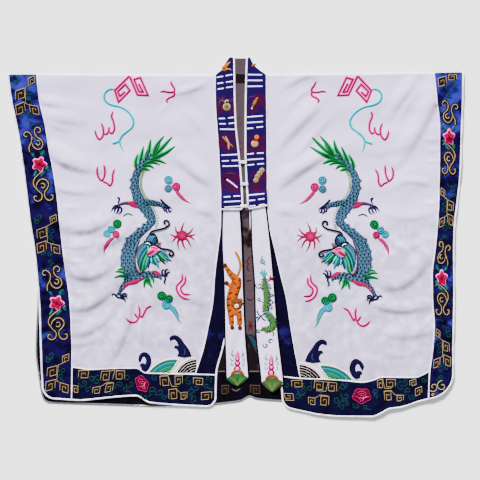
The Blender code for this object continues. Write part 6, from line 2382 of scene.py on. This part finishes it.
def draw_pagoda(work, x, y):
    """Small tower of three storeys between two clouds."""
    for down, wide, tall in ((6.8, 3.6, 3.8), (1.4, 3.0, 3.0), (-3.0, 2.5, 2.8)):
        shape = ring_points(1.0, 20, 0.05, 4) * (wide, tall)
        work.spot(shape, (x, y + down), ("crimson", "dark crimson"), 0.1)
        work.spot(shape * 0.55, (x, y + down), ("pale pink",), 0.9)
    spire = ((x, y - 4.0, 5.0), (x + 0.2, y - 7.0, 4.0), (x + 0.4, y - 11.6, 1.2))
    work.line(spire, 3.0, ("dark crimson", "pale pink", "dark crimson"), 0.5, taper=(0.05, 0.4))
    for way in (-1.0, 1.0):
        for down, reach in ((-8.0, 5.0), (-3.0, 5.6), (1.6, 5.4)):
            work.line(curl(x + way * reach, y + down, 2.1, 1.0, 1.0 + way, way), 0.8, ("teal",), 0.3)
        work.line(((x + way * 3.6, y - 4.0), (x + way * 5.6, y - 8.6), (x + way * 4.4, y - 13.0)), 0.8,
                  ("teal",), 0.3)


def draw_point(work, outline, threads, brow, veins, top, middle, tip):
    """Green pointed end of a streamer under a tan brow, with pale veins that run from the top to the tip."""
    work.patch(outline, threads, 0.1, smooth=False)
    work.line(brow, 3.2, ("earth",), 1.0, taper=(0.2, 0.2))
    for x in veins:
        work.line(((x, top), ((x + tip[0]) / 2, middle), tip), 0.6, ("pale moss",), 1.1)


def make_tiger_motifs():
    """Tiger, tower and pointed end of the left streamer."""
    work = Needlework()
    for path in (
        ((236.4, 276.0, 9.0), (236.2, 284.0, 12.0), (233.4, 293.0, 12.4), (231.8, 301.0, 12.4),
         (232.8, 309.0, 12.6), (235.6, 315.0, 11.0)),
        ((235.4, 279.0, 9.0), (230.2, 273.4, 6.4), (227.0, 268.6, 4.8), (225.2, 265.4, 4.2)),
        ((232.6, 287.0, 6.0), (229.6, 285.4, 4.4), (227.0, 283.6, 3.4)),
        ((230.8, 310.0, 8.0), (231.2, 318.0, 6.2), (231.8, 325.6, 5.4)),
        ((238.0, 310.0, 7.4), (239.4, 318.0, 6.0), (239.8, 325.8, 5.6)),
    ):
        work.line(path, 6.0, ("rust", "orange", "orange", "rust"), 0.2, taper=(0.06, 0.06))
    work.line(((237.6, 276.0), (240.4, 267.0), (238.8, 258.4), (234.9, 251.0)), 2.9,
              ("rust", "amber", "rust"), 0.2, taper=(0.02, 0.1))
    for x1, y1, x2, y2 in TIGER_STRIPES:
        work.line(((x1, y1), ((x1 + x2) / 2, (y1 + y2) / 2 + 0.7), (x2, y2)), 1.1, ("rust",), 1.4)
    for x, y in ((225.0, 265.2), (226.6, 283.0), (232.2, 327.4), (240.0, 327.8)):
        work.spot(ring_points(2.2, 14), (x, y), ("rust",), 0.9)
    work.spot(ring_points(6.0, 24, 0.08, 7), (236.8, 303.6), ("red", "earth", "rust"), 1.0)
    for x, y in ((232.8, 299.4), (240.8, 299.6)):
        work.spot(ring_points(1.7, 12), (x, y), ("amber", "rust"), 1.2)
    work.spot(ring_points(2.2, 16), (236.6, 306.2), ("pale pink", "cream"), 1.9)
    for x in (234.8, 238.6):
        work.spot(ring_points(0.7, 8), (x, 302.2), ("black",), 2.2)
    work.line(((235.4, 305.4), (236.6, 306.4), (237.8, 305.4)), 0.6, ("black",), 2.8)
    draw_pagoda(work, 237.4, 362.0)
    draw_point(
        work,
        ((225.8, 378.8), (231.0, 375.0), (237.2, 372.6), (243.6, 374.4), (249.2, 377.8), (243.0, 383.6),
         (237.4, 387.0), (231.4, 384.0)),
        ("green", "moss", "green"),
        ((230.6, 376.0), (234.0, 371.8), (237.4, 370.8), (241.0, 372.0), (244.4, 375.6)),
        (230.0, 234.0, 241.0, 245.0), 377.0, 380.6, (237.4, 386.0),
    )
    work.build("streamer_needlework_left", on_streamer("left"))


def make_small_dragon_motifs():
    """Small dragon, clouds, tower and pointed end of the right streamer."""
    work = Needlework()
    for x, y, radius in SMALL_CLOUDS:
        work.line(curl(x, y, radius, 1.4, x), 1.0, ("dark green",), 0.2, taper=(0.05, 0.2), spacing=0.5)
        work.line(curl(x + radius * 0.9, y + 1.6, radius * 0.6, 1.1, y), 0.9, ("dark teal",), 0.2,
                  spacing=0.5)
    work.line(((262.4, 255.4), (261.6, 259.4), (262.8, 263.6)), 2.2, ("teal", "glow", "teal"), 0.1)
    for end in ((259.0, 271.0), (261.6, 268.4), (264.8, 268.8), (267.4, 272.0)):
        work.line(((264.4, 278.4), ((264.4 + end[0]) / 2, 274.0), end), 2.0, ("bright teal", "teal"), 0.2)
    body = (
        (264.6, 276.0, 2.6), (264.6, 283.0, 4.2), (266.0, 290.0, 5.0), (267.4, 297.0, 5.2),
        (266.0, 304.0, 5.0), (265.6, 311.0, 4.8), (269.0, 315.6, 5.4), (273.0, 320.6, 5.6),
        (273.2, 327.0, 5.6), (268.4, 329.8, 5.4), (263.4, 329.4, 3.8), (259.4, 331.0, 2.0),
    )
    body = [(x, y, width * 1.15) for x, y, width in body]
    work.line(body, 5.0, ("slate", "moss", "leaf", "green"), 0.3, taper=(0.03, 0.1))
    draw_scales(work, body, 2.7, ("moss", "pale moss"), "dark green", 0.48)
    draw_fins(work, spline(body, 2.0), slice(2, -3), (-1.0, 1.0), SMALL_FIN)
    work.line(((262.8, 313.6), (267.0, 312.4), (270.4, 315.6)), 1.6, ("bright teal", "dark teal"), 1.4)
    for points in (
        ((268.0, 281.6), (270.6, 279.4), (273.8, 280.2)), ((269.0, 279.0), (270.6, 276.8), (270.4, 275.2)),
        ((270.4, 279.4), (273.0, 277.6), (275.0, 277.8)),
    ):
        work.line(points, 1.8, ("dark crimson", "crimson"), 0.2)
    for points in (
        ((263.6, 314.4), (260.0, 317.0), (256.8, 321.6)), ((260.8, 316.4), (258.0, 313.4), (257.2, 309.6)),
        ((261.0, 316.6), (263.4, 319.4), (266.0, 320.4)), ((259.0, 318.0), (256.4, 317.4), (255.0, 319.0)),
    ):
        work.line(points, 1.6, ("slate", "dark teal"), 0.4)
    work.line(((271.6, 329.6), (273.6, 333.0), (272.8, 336.4)), 1.6, ("lime", "green"), 0.4)
    work.spot(ring_points(0.8, 8), (262.6, 327.6), ("black",), 1.8)
    for points in (curl(265.6, 345.0, 3.0, 1.3, 2.0), curl(270.4, 341.6, 2.8, 1.2, 5.0)):
        work.line(points, 1.3, ("dark green",), 0.3, spacing=0.5)
    draw_pagoda(work, 271.2, 366.0)
    draw_point(
        work,
        ((260.8, 382.6), (265.8, 379.4), (271.6, 377.2), (278.4, 379.0), (284.2, 382.0), (278.6, 388.4),
         (272.4, 393.4), (266.0, 388.8)),
        ("moss", "moss", "olive"),
        ((265.4, 379.6), (268.4, 376.6), (271.6, 375.6), (275.2, 376.6), (278.6, 379.4)),
        (265.0, 268.6, 275.6, 279.4), 381.4, 385.4, (272.2, 391.4),
    )
    work.build("streamer_needlework_right", on_streamer("right"))


BACK_LINES = (
    ((250, 256), (247.8, 259.4), (247, 264)), ((249.4, 262), (247.2, 267.6), (249.6, 271.6)),
    ((246.4, 281.6), (249, 280), (251.4, 280.6)), ((246.4, 297.4), (249.4, 300), (252.6, 298.8)),
    ((248.2, 320), (250, 325), (248.4, 331)), ((251.6, 320.6), (250.8, 326), (252.8, 331.4)),
    ((247.6, 326), (250.6, 325), (253.6, 326.6)),
)


def make_back_motifs():
    """What shows of the back's embroidery between the streamers and on its hem band."""
    work = Needlework()
    for points in BACK_LINES:
        work.line(points, 1.5, ("dark crimson",), 0.0)
    work.line(((248.6, 336.0), (252.6, 340.6), (255.6, 347.0), (258.4, 355.6)), 5.4, ("dark teal", "slate"),
              0.0, taper=(0.3, 0.5))
    for x, y in ((239.6, 118.0), (241.0, 124.0), (240.6, 141.4), (241.4, 150.0)):
        work.line(curl(x, y, 1.6, 1.1, y), 1.0, ("dark crimson", "mauve"), 0.0)
    # Frets of the back's hem band in darker gold: painted shade, as the back lies in the fronts' shade
    draw_key(work, Key(228.8, 385.4, -7.0, 0.2, 0.0, 8.4), "gold dark")
    draw_key(work, Key(250.2, 385.2, 9.6, 0.4, 0.2, 8.2), "gold dark")
    work.line(((231.4, 388.8), (236.0, 391.2), (240.8, 388.6)), 2.0, ("mauve",), 0.0)
    work.build("back_needlework", on_back)


# Operators and the panel


class ROBE_OT_back(bpy.types.Operator):
    """Lay out the back with its bands, piping and binding"""

    bl_idname = "robe.back"
    bl_label = "Back"

    def execute(self, context):
        make_back()
        return {"FINISHED"}


class ROBE_OT_fronts(bpy.types.Operator):
    """Lay the two white fronts on the back, with their folds and creases"""

    bl_idname = "robe.fronts"
    bl_label = "Fronts"

    def execute(self, context):
        make_fields()
        return {"FINISHED"}


class ROBE_OT_bands(bpy.types.Operator):
    """Add the blue figured bands and the plain navy bands of the fronts"""

    bl_idname = "robe.bands"
    bl_label = "Bands"

    def execute(self, context):
        make_bands()
        return {"FINISHED"}


class ROBE_OT_trims(bpy.types.Operator):
    """Add the piping and the bias strips of the fronts"""

    bl_idname = "robe.trims"
    bl_label = "Piping and bindings"

    def execute(self, context):
        make_front_trims()
        return {"FINISHED"}


class ROBE_OT_collar(bpy.types.Operator):
    """Add the collar and its bindings"""

    bl_idname = "robe.collar"
    bl_label = "Collar"

    def execute(self, context):
        make_collar()
        return {"FINISHED"}


class ROBE_OT_streamers(bpy.types.Operator):
    """Add the two hanging streamers"""

    bl_idname = "robe.streamers"
    bl_label = "Streamers"

    def execute(self, context):
        make_streamers()
        return {"FINISHED"}


class ROBE_OT_closures(bpy.types.Operator):
    """Add the three tabs across the collar's edges"""

    bl_idname = "robe.closures"
    bl_label = "Closures"

    def execute(self, context):
        make_closures()
        return {"FINISHED"}


class ROBE_OT_band_motifs(bpy.types.Operator):
    """Embroider the side and hem bands"""

    bl_idname = "robe.band_motifs"
    bl_label = "Band embroidery"

    def execute(self, context):
        make_band_motifs()
        make_hem_motifs()
        return {"FINISHED"}


class ROBE_OT_dragons(bpy.types.Operator):
    """Embroider the dragon of each front"""

    bl_idname = "robe.dragons"
    bl_label = "Dragons"

    def execute(self, context):
        make_dragons()
        return {"FINISHED"}


class ROBE_OT_field_motifs(bpy.types.Operator):
    """Embroider the knots, ribbons, flames, clouds and waves of the fronts"""

    bl_idname = "robe.field_motifs"
    bl_label = "Field embroidery"

    def execute(self, context):
        make_field_motifs()
        make_waves()
        return {"FINISHED"}


class ROBE_OT_collar_motifs(bpy.types.Operator):
    """Embroider the collar"""

    bl_idname = "robe.collar_motifs"
    bl_label = "Collar embroidery"

    def execute(self, context):
        make_collar_motifs()
        return {"FINISHED"}


class ROBE_OT_streamer_motifs(bpy.types.Operator):
    """Embroider the streamers and what shows of the back"""

    bl_idname = "robe.streamer_motifs"
    bl_label = "Streamer embroidery"

    def execute(self, context):
        make_tiger_motifs()
        make_small_dragon_motifs()
        make_back_motifs()
        return {"FINISHED"}


def add_light(light):
    """Soft far light that shines along a direction; spread is how wide it looks, in radians."""
    data = bpy.data.lights.new(light.name, "SUN")
    data.energy = light.strength
    data.angle = light.spread
    data.color = light.colour
    lamp = bpy.data.objects.new(light.name, data)
    bpy.context.scene.collection.objects.link(lamp)
    direction = np.array(light.direction) / np.linalg.norm(light.direction)
    lamp.location = tuple(-LIGHT_DISTANCE * direction)
    lamp.rotation_euler = (math.acos(-direction[2]), 0.0, math.atan2(-direction[0], direction[1]))


class ROBE_OT_stage(bpy.types.Operator):
    """Add the floor, the light and the camera"""

    bl_idname = "robe.stage"
    bl_label = "Stage"

    def execute(self, context):
        half = sizes().floor_size / 2
        corners = [(-half, -half), (half, -half), (half, half), (-half, half)]
        corners = np.array([(x, y, FLOOR_HEIGHT) for x, y in corners])
        material = bpy.data.materials.new("floor")
        material.use_nodes = True
        shader = material.node_tree.nodes["Principled BSDF"]
        shader.inputs["Base Color"].default_value = (*colours().floor, 1.0)
        shader.inputs["Roughness"].default_value = 0.8
        shader.inputs["Specular IOR Level"].default_value = 0.2
        floor = put_mesh("floor", corners, np.array([[0, 1, 2, 3]]), corners[:, :2], material=material)
        if floor.data.polygons[0].normal.z < 0.0:
            floor.data.flip_normals()
        world = bpy.data.worlds.new("studio")
        world.use_nodes = True
        background = world.node_tree.nodes["Background"]
        background.inputs["Color"].default_value = SKY_COLOUR
        background.inputs["Strength"].default_value = SKY_STRENGTH
        bpy.context.scene.world = world
        for light in LIGHTS:
            add_light(light)
        data = bpy.data.cameras.new("camera")
        data.sensor_width = CAMERA_SENSOR
        data.lens = CAMERA_LENS
        camera = bpy.data.objects.new("camera", data)
        bpy.context.scene.collection.objects.link(camera)
        camera.location = (CAMERA_X, CAMERA_Y, CAMERA_HEIGHT)
        bpy.context.scene.camera = camera
        return {"FINISHED"}


STEPS = (
    ROBE_OT_back,
    ROBE_OT_fronts,
    ROBE_OT_bands,
    ROBE_OT_trims,
    ROBE_OT_streamers,
    ROBE_OT_collar,
    ROBE_OT_closures,
    ROBE_OT_band_motifs,
    ROBE_OT_dragons,
    ROBE_OT_field_motifs,
    ROBE_OT_collar_motifs,
    ROBE_OT_streamer_motifs,
    ROBE_OT_stage,
)


class ROBE_PT_panel(bpy.types.Panel):
    """Steps, sizes and colours of the robe"""

    bl_label = "Robe"
    bl_space_type = "VIEW_3D"
    bl_region_type = "UI"
    bl_category = "Robe"

    def draw(self, context):
        layout = self.layout
        for step in STEPS:
            layout.operator(step.bl_idname)
        for group in (context.scene.robe_sizes, context.scene.robe_colours):
            for name in group.bl_rna.properties.keys():
                if name not in ("rna_type", "name"):
                    layout.prop(group, name)


CLASSES = (RobeSizes, RobeColours, *STEPS, ROBE_PT_panel)


def register():
    """Register the classes and the scene's two property groups."""
    for item in CLASSES:
        bpy.utils.register_class(item)
    bpy.types.Scene.robe_sizes = bpy.props.PointerProperty(type=RobeSizes)
    bpy.types.Scene.robe_colours = bpy.props.PointerProperty(type=RobeColours)


def unregister():
    """Undo register."""
    del bpy.types.Scene.robe_sizes
    del bpy.types.Scene.robe_colours
    for item in reversed(CLASSES):
        bpy.utils.unregister_class(item)


def main():
    """Make the robe step by step."""
    register()
    for step in STEPS:
        group, name = step.bl_idname.split(".")
        result = getattr(getattr(bpy.ops, group), name)()
        if result != {"FINISHED"}:
            raise RuntimeError(f"{step.bl_idname} did not finish")


if __name__ == "__main__":
    main()
